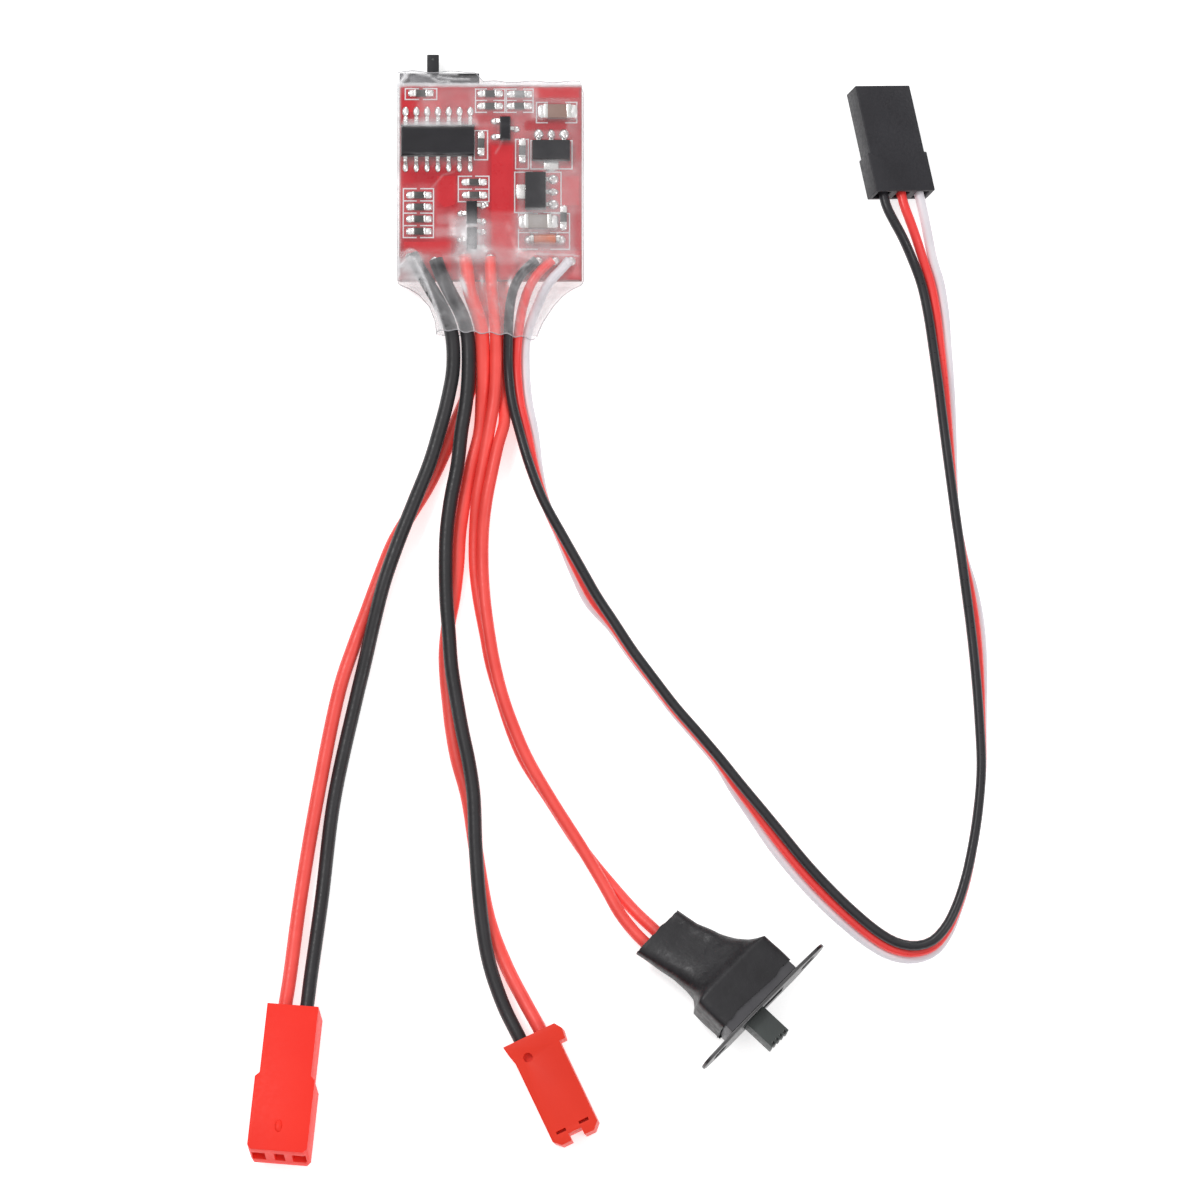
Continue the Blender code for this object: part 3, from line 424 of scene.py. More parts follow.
def skin_piece(name, bm, look, node, thickness, offset, smooth, at=None):
    """A closed skin given a thickness. offset is -1 to grow inward and 0 to grow both ways."""
    obj = add_object(name, as_mesh(name, bm))
    obj.data.materials.append(MATS[look])
    thick = obj.modifiers.new("thickness", "SOLIDIFY")
    thick.thickness = thickness * MM
    thick.offset = offset
    settle(obj, smooth)
    if at is not None:
        obj.matrix_world = at
    enlist(obj, ROOT, (node,))


# ---- wires

POWER_WIRE = 1.65
SWITCH_WIRE = 1.4
SERVO_WIRE = 1.15
# Each wire: its diameter, its colour and the points that it passes through, with a height where it changes
WIRES = {
    "battery_black": (POWER_WIRE, "black", (
        (-9.3, -8.7, 4.62), (-8.6, -10.0), (-7.15, -12.5), (-5.55, -15.2, 3.9), (-4.6, -17.6, 3.32),
        (-4.35, -21.8, 3.0), (-5.0, -25.7, 2.8), (-6.0, -29.6, 2.7), (-7.1, -33.3), (-8.9, -37.9),
        (-10.8, -42.8), (-12.4, -47.5, 2.55), (-13.6, -52.2, 2.0), (-14.7, -57.0, 1.35),
        (-15.7, -61.2, 0.98), (-18.2, -73.0, 0.92), (-19.6, -84.8, 1.05), (-20.85, -94.5, 2.6),
        (-21.2, -97.6, 3.1), (-21.75, -101.5, 3.7))),
    "battery_red": (POWER_WIRE, "red", (
        (-1.1, -9.0, 1.75), (-0.95, -12.0, 1.6), (-1.05, -17.2, 1.2), (-1.9, -21.2, 0.87),
        (-2.6, -24.6, 0.85), (-3.9, -27.8), (-5.7, -32.3), (-7.4, -35.8), (-9.4, -39.1), (-11.3, -42.4),
        (-12.9, -46.4), (-14.5, -50.8), (-15.9, -54.6), (-17.5, -59.5), (-20.2, -73.0),
        (-22.1, -84.8, 1.0), (-23.3, -94.5, 2.4), (-23.75, -97.6, 2.9), (-24.25, -101.4, 3.5))),
    "motor_black": (POWER_WIRE, "black", (
        (-6.4, -9.3, 4.62), (-5.85, -10.9), (-4.88, -12.9, 4.45), (-3.4, -15.6, 3.35),
        (-2.74, -17.7, 2.85), (-2.55, -21.7, 2.8), (-2.8, -25.7, 2.65), (-3.4, -29.6, 2.6),
        (-3.85, -33.6), (-4.6, -37.5), (-5.1, -41.5), (-5.2, -45.5), (-5.1, -49.5), (-4.8, -53.4),
        (-4.5, -57.4), (-4.0, -60.7), (-3.2, -65.2), (-2.5, -68.5), (-1.9, -72.5), (-1.6, -79.3),
        (-0.9, -87.4), (0.0, -92.6, 2.5), (1.7, -97.6, 2.6), (3.5, -101.3, 2.9), (5.0, -104.4, 2.84))),
    "motor_red": (POWER_WIRE, "red", (
        (-3.0, -8.8, 4.62), (-2.75, -10.6), (-2.45, -12.9, 4.5), (-1.5, -15.6, 3.5),
        (-1.0, -17.6, 2.92), (-0.85, -21.7, 2.3), (-0.95, -25.5, 1.4), (-1.2, -29.3, 0.95),
        (-2.2, -33.2, 0.85), (-3.0, -37.2), (-3.6, -41.1), (-3.85, -45.2), (-4.3, -49.1), (-4.9, -52.3),
        (-5.2, -55.5), (-5.1, -58.5), (-4.8, -61.5), (-4.4, -64.9), (-3.8, -68.2), (-2.6, -72.6),
        (-1.6, -79.0), (-0.1, -87.1), (1.9, -92.5, 1.1), (4.2, -97.2, 2.5), (5.8, -100.2, 3.1),
        (7.25, -103.3, 3.08))),
    "switch_wire_a": (SWITCH_WIRE, "red", (
        (0.0, -9.0, 4.5), (0.05, -10.8), (0.15, -12.7, 4.4), (0.48, -15.6, 3.6), (0.62, -17.6, 3.2),
        (0.65, -21.6, 2.7), (0.5, -25.4, 2.3), (-0.08, -29.0, 2.15), (-0.8, -33.2, 1.8),
        (-1.5, -37.2, 1.5), (-1.8, -41.1, 0.85), (-1.8, -45.2, 0.72), (-1.35, -49.1), (-0.6, -53.1),
        (0.15, -57.0), (1.3, -60.9), (2.6, -64.9), (4.0, -68.2), (7.0, -72.9), (10.9, -78.9),
        (14.0, -82.8, 0.9), (17.0, -86.4, 2.2), (19.4, -88.8, 3.0), (21.35, -90.65, 3.15))),
    "switch_wire_b": (SWITCH_WIRE, "red", (
        (1.5, -9.0, 1.85), (1.5, -12.0, 1.7), (1.3, -17.2, 1.3), (1.2, -21.3, 0.9), (1.5, -24.6, 0.95),
        (1.64, -26.6, 1.4), (1.66, -28.3, 1.95), (0.95, -31.0, 2.45), (0.25, -34.3, 2.6),
        (-0.4, -37.7, 2.5), (-0.8, -41.2, 2.0), (-0.85, -45.4, 1.9), (-0.6, -49.4, 2.15),
        (-0.1, -53.3, 2.25), (0.6, -57.3), (1.6, -61.2), (3.0, -65.1), (4.5, -68.5), (7.2, -73.2),
        (10.9, -79.1, 2.3), (13.4, -83.4, 2.5), (15.4, -87.0, 2.9), (17.9, -90.0, 3.4),
        (20.2, -91.8, 3.55))),
}

# The receiver lead is a flat three-wire ribbon that stands on edge, black on top. Each point gives the
# black wire's x and y, the sideways step from one wire to the next (positive is to the left of the way
# that the lead runs), and where it changes, the height of the white wire's centre.
RIBBON_PITCH = 1.24
RIBBON = (
    (2.1, -21.5, 1.0, 0.72), (2.5, -25.6, 0.95, 0.66), (3.5, -29.7, 0.85, 0.62), (4.7, -33.8, 0.5),
    (6.2, -37.7, 0.15), (8.4, -41.8, -0.1), (10.7, -45.9, -0.4), (12.5, -49.1, -0.5),
    (14.5, -52.2, -0.2), (16.7, -55.6, -0.12), (19.2, -59.0, -0.1), (21.7, -62.3, -0.1),
    (24.2, -65.2, -0.12), (26.8, -68.3, -0.15), (29.2, -71.3, -0.4), (31.6, -74.2, -0.6),
    (34.0, -77.1, -0.8), (36.6, -80.3, -0.85), (39.2, -83.2, -0.85), (42.2, -86.2, -0.8),
    (45.4, -88.9, -0.75), (47.5, -90.1, -0.7), (49.6, -90.5, -0.6), (51.5, -90.0, -0.45),
    (53.1, -88.4, -0.25), (54.4, -85.9, -0.1), (55.5, -82.6, -0.05), (56.4, -78.5, 0.0),
    (57.0, -74.6, 0.0), (57.4, -69.6, -0.05), (57.2, -63.9, -0.2), (56.8, -58.2, -0.45),
    (56.3, -53.1, -0.6), (55.7, -48.3, -0.5), (55.1, -43.7, -0.15), (54.4, -38.5, -0.05),
    (53.7, -33.0, -0.3, 0.65), (53.1, -28.1, -0.55, 0.8), (52.6, -23.9, -0.7, 1.1),
    (52.0, -19.6, -0.85, 1.6), (51.4, -15.6, -1.0, 2.2), (50.65, -12.1, -1.1, 2.6),
)
# Where each wire of the lead leaves the ribbon for its pad on the board, and for its contact in the plug
LEAD_ENDS = {
    "receiver_black": (
        ((5.4, -9.3, 4.35), (4.0, -10.6, 4.35), (3.1, -11.9, 4.3), (2.5, -13.6, 4.0), (2.2, -15.8, 3.5),
         (2.1, -18.5, 2.9)),
        ((49.7, -9.5, 4.1), (48.4, -6.8, 5.5), (47.2, -4.7, 6.25), (46.5, -3.2, 6.3), (45.75, 0.5, 5.62))),
    "receiver_red": (
        ((7.3, -9.3, 4.35), (5.9, -10.6, 4.35), (5.05, -11.7, 4.4), (4.4, -13.0, 4.15), (3.85, -14.6, 3.4),
         (3.5, -16.2, 2.8), (3.2, -18.5, 2.1)),
        ((50.9, -9.3, 3.6), (49.9, -6.4, 4.7), (49.15, -4.4, 5.25), (48.6, -2.9, 5.3), (47.8, 0.75, 4.62))),
    "receiver_white": (
        ((9.3, -9.3, 4.35), (8.3, -10.5, 4.4), (7.25, -11.6, 4.42), (6.4, -12.8, 4.1), (5.65, -14.3, 3.1),
         (4.93, -15.9, 2.2), (4.15, -18.5, 1.3)),
        ((52.0, -9.0, 3.1), (51.4, -6.2, 3.9), (50.95, -4.0, 4.3), (50.65, -2.6, 4.3), (49.87, 1.0, 3.62))),
}


def with_heights(points, size):
    """The points, each with its height: the one before it where none is given."""
    full = []
    for point in points:
        full.append(point if len(point) == size else (*point, full[-1][-1]))
    return tuple(full)


def ribbon_route(rank):
    """The way of one wire of the ribbon: rank 0 is the black wire on top, 2 the white one below."""
    points = []
    for i, (x, y, lean, base) in enumerate(with_heights(RIBBON, 4)):
        before = RIBBON[max(i - 1, 0)]
        after = RIBBON[min(i + 1, len(RIBBON) - 1)]
        along = Vector((after[0] - before[0], after[1] - before[1], 0.0)).normalized()
        left = Vector((-along.y, along.x, 0.0))
        rise = sqrt(RIBBON_PITCH ** 2 - lean ** 2)
        points.append(tuple(Vector((x, y, base + (2 - rank) * rise)) + left * lean * rank))
    return tuple(points)


def route_points(route, spacing):
    """Evenly spaced points on a centripetal spline through the route, both ends kept."""
    knots = [Vector(p) for p in route]
    knots = [knots[0] * 2 - knots[1]] + knots + [knots[-1] * 2 - knots[-2]]
    steps = 24
    dense = []

    def mix(p, q, low, high, t):
        return p * (high - t) / (high - low) + q * (t - low) / (high - low)

    for a, b, c, d in zip(knots, knots[1:], knots[2:], knots[3:]):
        t1 = (b - a).length ** 0.5
        t2 = t1 + (c - b).length ** 0.5
        t3 = t2 + (d - c).length ** 0.5
        for step in range(steps):
            t = t1 + (t2 - t1) * step / steps
            ab, bc, cd = mix(a, b, 0, t1, t), mix(b, c, t1, t2, t), mix(c, d, t2, t3, t)
            dense.append(mix(mix(ab, bc, 0, t2, t), mix(bc, cd, t1, t3, t), t1, t2, t))
    dense.append(knots[-2])
    total = sum((b - a).length for a, b in zip(dense, dense[1:]))
    count = max(2, round(total / spacing))
    points = [dense[0]]
    walked = 0.0
    for a, b in zip(dense, dense[1:]):
        length = (b - a).length
        while len(points) < count and walked + length >= total * len(points) / count:
            part = (total * len(points) / count - walked) / length
            points.append(a.lerp(b, part))
        walked += length
    return points + [dense[-1]]


# How far apart the points along each wire are, in millimetres
WIRE_SPACING = 0.9


def all_wires():
    """Each wire's diameter, material, finish slot and route."""
    wires = {}
    for name, (diameter, colour, route) in WIRES.items():
        slot = "wire_black" if name.endswith("black") else "wire_red"
        wires[name] = (diameter, f"wire_{colour}", slot, with_heights(route, 3))
    for rank, (name, (head, tail)) in enumerate(LEAD_ENDS.items()):
        colour = name.rsplit("_", 1)[1]
        wires[name] = (SERVO_WIRE, f"lead_{colour}", f"wire_{colour}", head + ribbon_route(rank) + tail)
    return wires


def build_wires():
    """The nine wires. Gives each one's object, diameter and points."""
    made = {}
    for name, (diameter, look, slot, route) in all_wires().items():
        points = route_points(route, WIRE_SPACING)
        curve = bpy.data.curves.new(f"{name}_wire", "CURVE")
        curve.dimensions = "3D"
        curve.bevel_depth = diameter / 2 * MM
        curve.bevel_resolution = 8
        curve.use_fill_caps = True
        spline = curve.splines.new("POLY")
        spline.points.add(len(points) - 1)
        for point, at in zip(spline.points, points):
            point.co = (*(at * MM), 1.0)
        curve.materials.append(MATS[look])
        obj = add_object(f"{name}_wire", curve)
        enlist(obj, ROOT, (name,))
        made[name] = (obj, diameter, points)
    return made


# ---- board

COPPER_T = 0.025
INK_T = 0.03
INK_W = 0.15
# Outlines of the raised copper areas under the solder mask
POURS = (
    ((0.1, 4.6), (2.7, 4.6), (2.7, -2.6), (3.0, -4.0), (3.0, -11.3), (0.1, -11.3)),
    ((-6.3, 0.9), (-4.1, 0.9), (-4.1, -2.5), (-5.4, -2.9), (-6.3, -2.0)),
    ((-10.2, -7.0), (-4.6, -7.0), (-4.6, -11.3), (-10.2, -11.3)),
    ((3.4, 11.5), (10.4, 11.5), (10.4, 10.3), (3.4, 10.3)),
    ((-10.4, 9.9), (-6.0, 9.9), (-5.6, 8.6), (-10.4, 8.6)),
    ((3.4, -8.1), (10.4, -8.1), (10.4, -11.3), (3.4, -11.3)),
    ((6.6, 0.9), (10.4, 0.9), (10.4, -2.6), (7.6, -2.6)),
)
# Single boxes of ink: left, top, right, bottom, the gap in the level sides and the lift
INK_BOXES = (
    (-10.05, 11.4, -6.35, 10.1, 0.6), (5.4, 9.75, 10.15, 7.3, 2.2), (-1.9, 6.35, -0.35, 2.85),
    (2.95, 5.3, 4.45, 1.75), (4.75, 5.15, 9.6, 1.75), (2.85, 1.35, 8.3, -3.5, 1.4),
    (3.3, -3.62, 9.3, -5.9, 1.6), (3.3, -5.9, 9.3, -7.9, 1.6, 0.01),
)
# Stacks of ink boxes: left, right, the levels of their lines and the gap
INK_STACKS = (
    (-10.25, -6.7, (-0.63, -2.1, -3.57, -5.07, -6.5), 0.55), (-3.78, -0.19, (0.86, -0.69, -2.19), 0.5),
    (-1.78, 1.68, (11.35, 9.98, 8.55), 0.9), (1.86, 5.0, (11.35, 9.98, 8.55), 0.9),
)


def build_board():
    bm = box_mesh((BOARD_W, BOARD_Y1 - BOARD_Y0, BOARD_TOP - BOARD_BOTTOM),
                  (0, (BOARD_Y0 + BOARD_Y1) / 2, (BOARD_TOP + BOARD_BOTTOM) / 2), bevel=0.06, segments=1)
    for face in bm.faces:
        face.material_index = 0 if abs(face.normal.z) > 0.9 else 1
    piece("board", bm, ("mask", "edge"), ("circuit_board",))
    parts = [(prism_mesh(outline, BOARD_TOP, BOARD_TOP + COPPER_T), 0) for outline in POURS]
    piece("board_copper", merge(parts), ("pour",))


def ink_box(x0, y0, x1, y1, gap=0.0, lift=0.0):
    """Strips of ink round a box. gap opens the middle of the level sides, lift clears another box's ink."""
    z = BOARD_TOP + INK_T + lift
    strips = []
    middle = (x0 + x1) / 2
    for y in (y0, y1):
        runs = ((x0, middle - gap / 2), (middle + gap / 2, x1)) if gap else ((x0, x1),)
        for a, b in runs:
            strips.append((box_mesh((b - a + INK_W, INK_W, INK_T), ((a + b) / 2, y, z)), 0))
    for x in (x0, x1):
        strips.append((box_mesh((INK_W, abs(y1 - y0), INK_T), (x, (y0 + y1) / 2, z + 0.004)), 0))
    return strips


def build_ink():
    strips = []
    for x0, x1, levels, gap in INK_STACKS:
        for number, (y0, y1) in enumerate(zip(levels, levels[1:])):
            strips += ink_box(x0, y0, x1, y1, gap, 0.01 * (number % 2))
    for box in INK_BOXES:
        strips += ink_box(*box)
    piece("board_ink_lines", merge(strips), ("ink",))


# ---- chips

LEAD_T = 0.18
SOIC_PITCH = 1.27
SOIC_BODY_W = 3.9
SOIC_SPAN = 6.0
SOIC_H = 1.45
SOT89_SIZE = (4.5, 2.5, 1.5)
SOT23_SIZE = (1.3, 2.9, 1.0)
CHIP_SIZE = (1.6, 0.8, 0.5)
CAPACITOR_SIZE = (3.2, 1.7, 1.2)
SINK = -0.03             # how far solder starts below its seat, so that no gap shows


def lead_mesh(x, y_body, y_toe, width, z_exit):
    """A gull-wing lead with rounded bends."""
    side = 1.0 if y_toe > y_body else -1.0
    knee = y_body + 0.38 * side
    heel = y_body + 0.52 * side
    upper = ((y_body - 0.15 * side, z_exit), (knee - 0.08 * side, z_exit),
             (knee + 0.06 * side, z_exit - 0.06), (heel + 0.06 * side, LEAD_T + 0.08),
             (heel + 0.16 * side, LEAD_T), (y_toe, LEAD_T))
    lower = ((y_toe, 0.0), (heel + 0.04 * side, 0.0), (heel - 0.09 * side, 0.08),
             (knee - 0.1 * side, z_exit - 0.12), (knee - 0.2 * side, z_exit - LEAD_T),
             (y_body - 0.15 * side, z_exit - LEAD_T))
    outline = [(y, z) for y, z in upper + lower]
    bm = prism_mesh(outline, -width / 2, width / 2)
    turn = Matrix(((0, 0, 1, x * MM), (1, 0, 0, 0), (0, 1, 0, 0), (0, 0, 0, 1)))
    bmesh.ops.transform(bm, matrix=turn, verts=bm.verts)
    return bm


def epoxy_mesh(size, foot=0.08, draft=0.12, slope=0.0):
    """A moulded body: waist at mid height, drafted sides, and a sloped +Y shoulder when slope is given."""
    length, width, height = size
    middle = (foot + height) / 2
    rings = []
    for z, shrink in ((foot, draft), (middle, 0.0), (height, draft)):
        x = length / 2 - shrink
        y = width / 2 - shrink
        back = y - slope if z == height else y
        rings.append(((-x, -y, z), (x, -y, z), (x, back, z), (-x, back, z)))
    bm = bmesh.new()
    loops = [[bm.verts.new(Vector(p) * MM) for p in ring] for ring in rings]
    bridge(bm, loops)
    bm.faces.new(list(reversed(loops[0])))
    bm.faces.new(loops[-1])
    bmesh.ops.bevel(bm, geom=bm.edges, offset=0.04 * MM, segments=2, affect="EDGES")
    return bm


def on_board(x, y, turn=0.0):
    return place((x, y, PART_Z), turn)


def under_board(x, y, turn=0.0):
    return place((x, y, BOARD_BOTTOM - SEAT_GAP), turn, roll=180)


def build_package(name, parts, at):
    """A chip from its parts: index 0 is epoxy, 1 a tinned lead and 2 solder, which also makes painted
    highlights on some leads.
    """
    looks = ("epoxy", "tin", "solder_and_glint")
    piece(f"{name}_package", merge(parts), looks, (name,), at=at)


def build_soic(name, leads, at, slope=0.0):
    per_side = leads // 2
    length = per_side * SOIC_PITCH - 0.24 if leads > 8 else 4.9
    parts = [(epoxy_mesh((length, SOIC_BODY_W, SOIC_H), slope=slope), 0)]
    for i in range(per_side):
        x = (i - (per_side - 1) / 2) * SOIC_PITCH
        for side in (-1, 1):
            parts.append((lead_mesh(x, side * SOIC_BODY_W / 2, side * SOIC_SPAN / 2, 0.42, SOIC_H * 0.6), 1))
            reach = 0.62 if side > 0 else 0.12
            pad = (0.8, 1.3, 0.30) if side > 0 else (0.7, 1.15, 0.26)
            parts.append((dome_mesh((x, side * (SOIC_SPAN / 2 + reach), SINK), pad, power=2.6), 2))
            # A small solder dome on each lead's bend: a painted highlight where the bend catches the light.
            knee = (x, side * (SOIC_BODY_W / 2 + 0.42), SOIC_H * 0.6 - 0.09)
            parts.append((dome_mesh(knee, (0.5, 0.42, 0.16)), 2))
    build_package(name, parts, at)


def build_sot89(name, at):
    length, width, height = SOT89_SIZE
    parts = [(epoxy_mesh((length, width, height), foot=0.02), 0)]
    for i in (-1, 0, 1):
        parts.append((box_mesh((0.48, 1.3, 0.38), (i * 1.5, width / 2 + 0.45, 0.2), bevel=0.05), 1))
        pad_w = 1.25 if i else 0.95
        parts.append((dome_mesh((i * 1.5, width / 2 + 0.85, SINK), (pad_w, 1.3, 0.42), power=2.2), 2))
        # A small solder dome on each lead near the body: a painted highlight on the lead.
        parts.append((dome_mesh((i * 1.5, width / 2 + 0.5, 0.3), (0.5, 0.7, 0.25)), 2))
    parts.append((box_mesh((1.7, 1.3, 0.38), (0, -width / 2 - 0.3, 0.2), bevel=0.05), 1))
    parts.append((dome_mesh((0, -width / 2 - 0.6, SINK), (1.8, 1.1, 0.30), power=3.5), 1))
    build_package(name, parts, at)


def build_sot23(name, at):
    width, length, height = SOT23_SIZE
    parts = [(epoxy_mesh((width, length, height)), 0)]
    quarter = Matrix.Rotation(radians(-90), 4, "Z")
    for along, side in ((0.0, -1), (-0.95, 1), (0.95, 1)):
        bm = lead_mesh(along, side * width / 2, side * (width / 2 + 0.7), 0.42, height * 0.6)
        bmesh.ops.transform(bm, matrix=quarter, verts=bm.verts)
        parts.append((bm, 1))
        pad = (side * (width / 2 + 0.62), -along, SINK)
        parts.append((dome_mesh(pad, (1.0, 0.85, 0.34), power=2.3), 2))
    build_package(name, parts, at)


def build_chip_part(name, size, at, ceramic, pad):
    """A chip resistor or capacitor: ceramic between tinned ends, on solder mounds."""
    length, width, height = size
    cap = length * 0.15
    parts = [(box_mesh((length - cap, width * 0.94, height * 0.94), (0, 0, height / 2), bevel=0.04), 0)]
    for side in (-1, 1):
        end = (side * (length - cap) / 2, 0, height / 2)
        parts.append((box_mesh((cap, width, height), end, bevel=0.06), 1))
        mound = (side * (length / 2 + pad * 0.22), 0, SINK)
        parts.append((dome_mesh(mound, (pad, width * 1.12, height * 0.85), power=3.0, square=0.6), 2))
    piece(f"{name}_body", merge(parts), (ceramic, "tin", "solder_and_glint"), (name,), at=at)


# Small parts on the board: x, y and turn in degrees
CHIP_PARTS = (
    (-8.38, -1.45, 0), (-8.38, -2.87, 0), (-8.38, -4.32, 0), (-8.38, -5.8, 0),
    (-1.9, 0.1, 0), (-1.85, -1.45, 0), (-8.2, 10.8, 0),
    (-0.05, 10.75, 0), (-0.05, 9.25, 0), (3.45, 10.7, 0), (3.4, 9.25, 0),
    (-1.1, 4.75, 90), (3.75, 3.9, 90), (8.6, -4.15, 90),
)
TRANSISTORS = ((1.73, 6.5, 180), (-2.2, -3.65, 0), (-2.2, -6.8, 0))
MOSFETS = ((-5.3, 3.3), (5.3, 5.0), (-5.3, -3.6), (5.3, -2.4))


def build_parts():
    build_soic("control_chip", 14, on_board(-6.2, 5.0), slope=0.45)
    build_sot89("regulator_a", on_board(7.14, 3.8))
    build_sot89("regulator_b", on_board(5.3, -1.05, -90))
    for number, (x, y, turn) in enumerate(TRANSISTORS, 1):
        build_sot23(f"transistor_{number}", on_board(x, y, turn))
    for number, (x, y) in enumerate(MOSFETS, 1):
        build_soic(f"bridge_mosfet_{number}", 8, under_board(x, y, 90))
    for number, (x, y, turn) in enumerate(CHIP_PARTS, 1):
        build_chip_part(f"chip_part_{number}", CHIP_SIZE, on_board(x, y, turn),
                        "ceramic", 1.05)
    for number, x, y, look, slot in ((1, 7.87, 8.5, "brown", "capacitor_brown"),
                                     (2, 5.6, -4.75, "taupe", "capacitor_grey")):
        build_chip_part(f"filter_capacitor_{number}", CAPACITOR_SIZE, on_board(x, y), look, 1.1)
    build_diode()


def build_diode():
    radius = 0.7
    parts = []
    for x0, x1, r, index in ((-1.8, -1.3, radius, 1), (-1.3, 1.3, 0.62, 0), (1.3, 1.8, radius, 1)):
        bm = bmesh.new()
        bmesh.ops.create_cone(bm, segments=28, radius1=r * MM, radius2=r * MM, depth=(x1 - x0) * MM,
                              cap_ends=True)
        bmesh.ops.rotate(bm, matrix=Matrix.Rotation(radians(90), 3, "Y"), verts=bm.verts)
        bmesh.ops.translate(bm, vec=Vector(((x0 + x1) / 2, 0, radius)) * MM, verts=bm.verts)
        ends = [e for e in bm.edges if abs(e.calc_face_angle(0)) > 1.0]
        bmesh.ops.bevel(bm, geom=ends, offset=0.1 * MM, segments=3, affect="EDGES")
        parts.append((bm, index))
    for side in (-1, 1):
        parts.append((dome_mesh((side * 1.95, 0, SINK), (1.1, 1.2, 0.55)), 2))
    piece("diode_body", merge(parts), ("amber", "tin", "solder_and_glint"), ("diode",),
          at=on_board(6.4, -6.85))


def build_wire_joints():
    """Solder under the wire ends on the board's lower edge, and two more solder mounds on the board."""
    parts = []
    pads = ((-9.45, -8.85), (-6.55, -9.35), (-3.05, -8.85), (0.0, -9.05),
            (5.6, -9.35), (7.6, -9.35), (9.45, -9.35))
    for x, y in pads:
        parts.append((dome_mesh((x, y, BOARD_TOP + SINK), (1.2, 1.2, 0.3)), 0))
    for x, y, across, along in ((-0.65, -2.55, 1.0, 0.8), (-0.62, -8.1, 0.7, 0.7)):
        parts.append((dome_mesh((x, y, BOARD_TOP + SINK), (across, along, 0.25)), 0))
    piece("wire_joints", merge(parts), ("solder_and_glint",))


# ---- brake switch

def build_brake_switch():
    x_mid, width, y0, y1, z0, height = -6.05, 9.4, 9.4, 13.5, 0.4, 2.26
    wall = 0.25
    rest, travel, gap, lever_w, lever_t = -6.82, 1.54, CLEARANCE, 1.4, 1.0
    y_mid = (y0 + y1) / 2
    z_mid = z0 + height / 2
    inner_w = width - 2 * wall
    inner_h = height - 2 * wall
    hollow = box_mesh((inner_w, y1 - y0, inner_h), (x_mid, y_mid - wall, z_mid))
    slot = box_mesh((lever_w + travel + 2 * gap, 2.0, lever_t + 2 * gap), (rest + travel / 2, y1, z_mid))
    shell = box_mesh((width, y1 - y0, height), (x_mid, y_mid, z_mid))
    piece("brake_shell", shell, ("steel",), ("brake_switch_shell",), cuts=(hollow, slot),
          soften=0.07)
    lip = box_mesh((4.5, 0.42, 0.05), (x_mid + 2.3, y1 - 0.3, z0 + height + 0.025), bevel=0.01)
    piece("brake_shell_lip", lip, ("laminate",))
    plate_d = 1.2
    plate_y = y1 - wall - gap - plate_d / 2
    base_y1 = plate_y - plate_d / 2 - gap
    base = box_mesh((inner_w - 0.1, base_y1 - y0, inner_h - 0.1), (x_mid, (y0 + base_y1) / 2, z_mid),
                    bevel=0.05)
    piece("brake_base", base, ("laminate",), ("brake_switch_base",))
    lever_y1 = 15.9 - plate_y
    lever_mid = (0, (lever_y1 + 0.4) / 2, 0)
    parts = [
        (box_mesh((5.4, plate_d, inner_h - 2 * gap), (0, 0, 0), bevel=0.05), 0),
        (box_mesh((lever_w, lever_y1 - 0.4, lever_t), lever_mid, bevel=0.12, segments=3), 0),
        # The lighter grey dome on the tip is a painted highlight on the lever's dimple.
        (dome_mesh((0, lever_y1 - 0.6, lever_t / 2 - 0.01), (0.34, 0.34, 0.05)), 1),
    ]
    piece("brake_lever", merge(parts), ("lever", "lever_grey"), ("brake_slider",),
          body=BRAKE_BODY, at=place((rest, plate_y, z_mid)))


# ---- clear film

# The film's outline: y, then the x of its left or right side there
FILM_LEFT = ((-18.6, -6.3), (-17.5, -6.35), (-15.95, -6.56), (-14.24, -7.23), (-12.9, -8.45), (-12.18, -9.6),
             (-11.66, -10.85), (-11.0, -11.0), (14.4, -11.0))
FILM_RIGHT = ((-18.6, 5.15), (-18.0, 5.26), (-15.95, 6.1), (-13.9, 7.45), (-12.7, 8.6), (-12.0, 9.6),
              (-11.5, 10.75), (-11.0, 10.98), (11.3, 10.98), (12.3, 10.6), (14.4, 10.4))
STEP = 0.12              # grid of the film's height field
RIM_Y = (-18.8, -17.0, -14.0, -11.8, -11.2, 11.7, 12.4)
RIM_Z = (1.8, 2.0, 2.8, 3.6, 3.8, 3.8, 3.35)
SMOOTHING = 500
GRID_X = (-11.4, 11.41)
GRID_Y = (-18.8, 14.61)
SHELL_SIDE = -1.2        # left of this the film runs on over the brake switch
BRAKE_SHELL = (-10.75, -1.35, 9.4, 13.5, 2.74)   # its left, right, back, front and top
SHELL_RIM = 2.76
MOUTH_Y = -17.55
MOUTH_SLANT = 0.75       # how much further down the neck's right side reaches
END_OVER_SHELL = 13.62
END_OVER_BOARD = 12.3
BOTTOM_Y0 = -17.5
BOTTOM_Y1 = 12.05
WAVE = 0.12              # how far the cut ends wander
LAY_GAP = 0.03
WIRE_GAP = 0.08
# What the film lies on: middle, half length, half width and height above the seat
LARGE_PARTS = (
    (-6.2, 5.0, 4.35, 1.6, 1.5), (7.14, 3.8, 2.25, 1.25, 1.55), (5.3, -1.05, 1.25, 2.25, 1.55),
    (7.87, 8.5, 1.6, 0.85, 1.25), (5.6, -4.75, 1.6, 0.85, 1.25), (6.4, -6.85, 1.8, 0.5, 1.45),
)


def soft_box(x, y, x0, x1, y0, y1, edge=0.8):
    """1 inside the box, falling to 0 over edge outside it."""
    dx = np.maximum(np.maximum(x0 - x, x - x1), 0.0)
    dy = np.maximum(np.maximum(y0 - y, y - y1), 0.0)
    away = np.clip(np.hypot(dx, dy) / edge, 0.0, 1.0)
    return 1 - away * away * (3 - 2 * away)


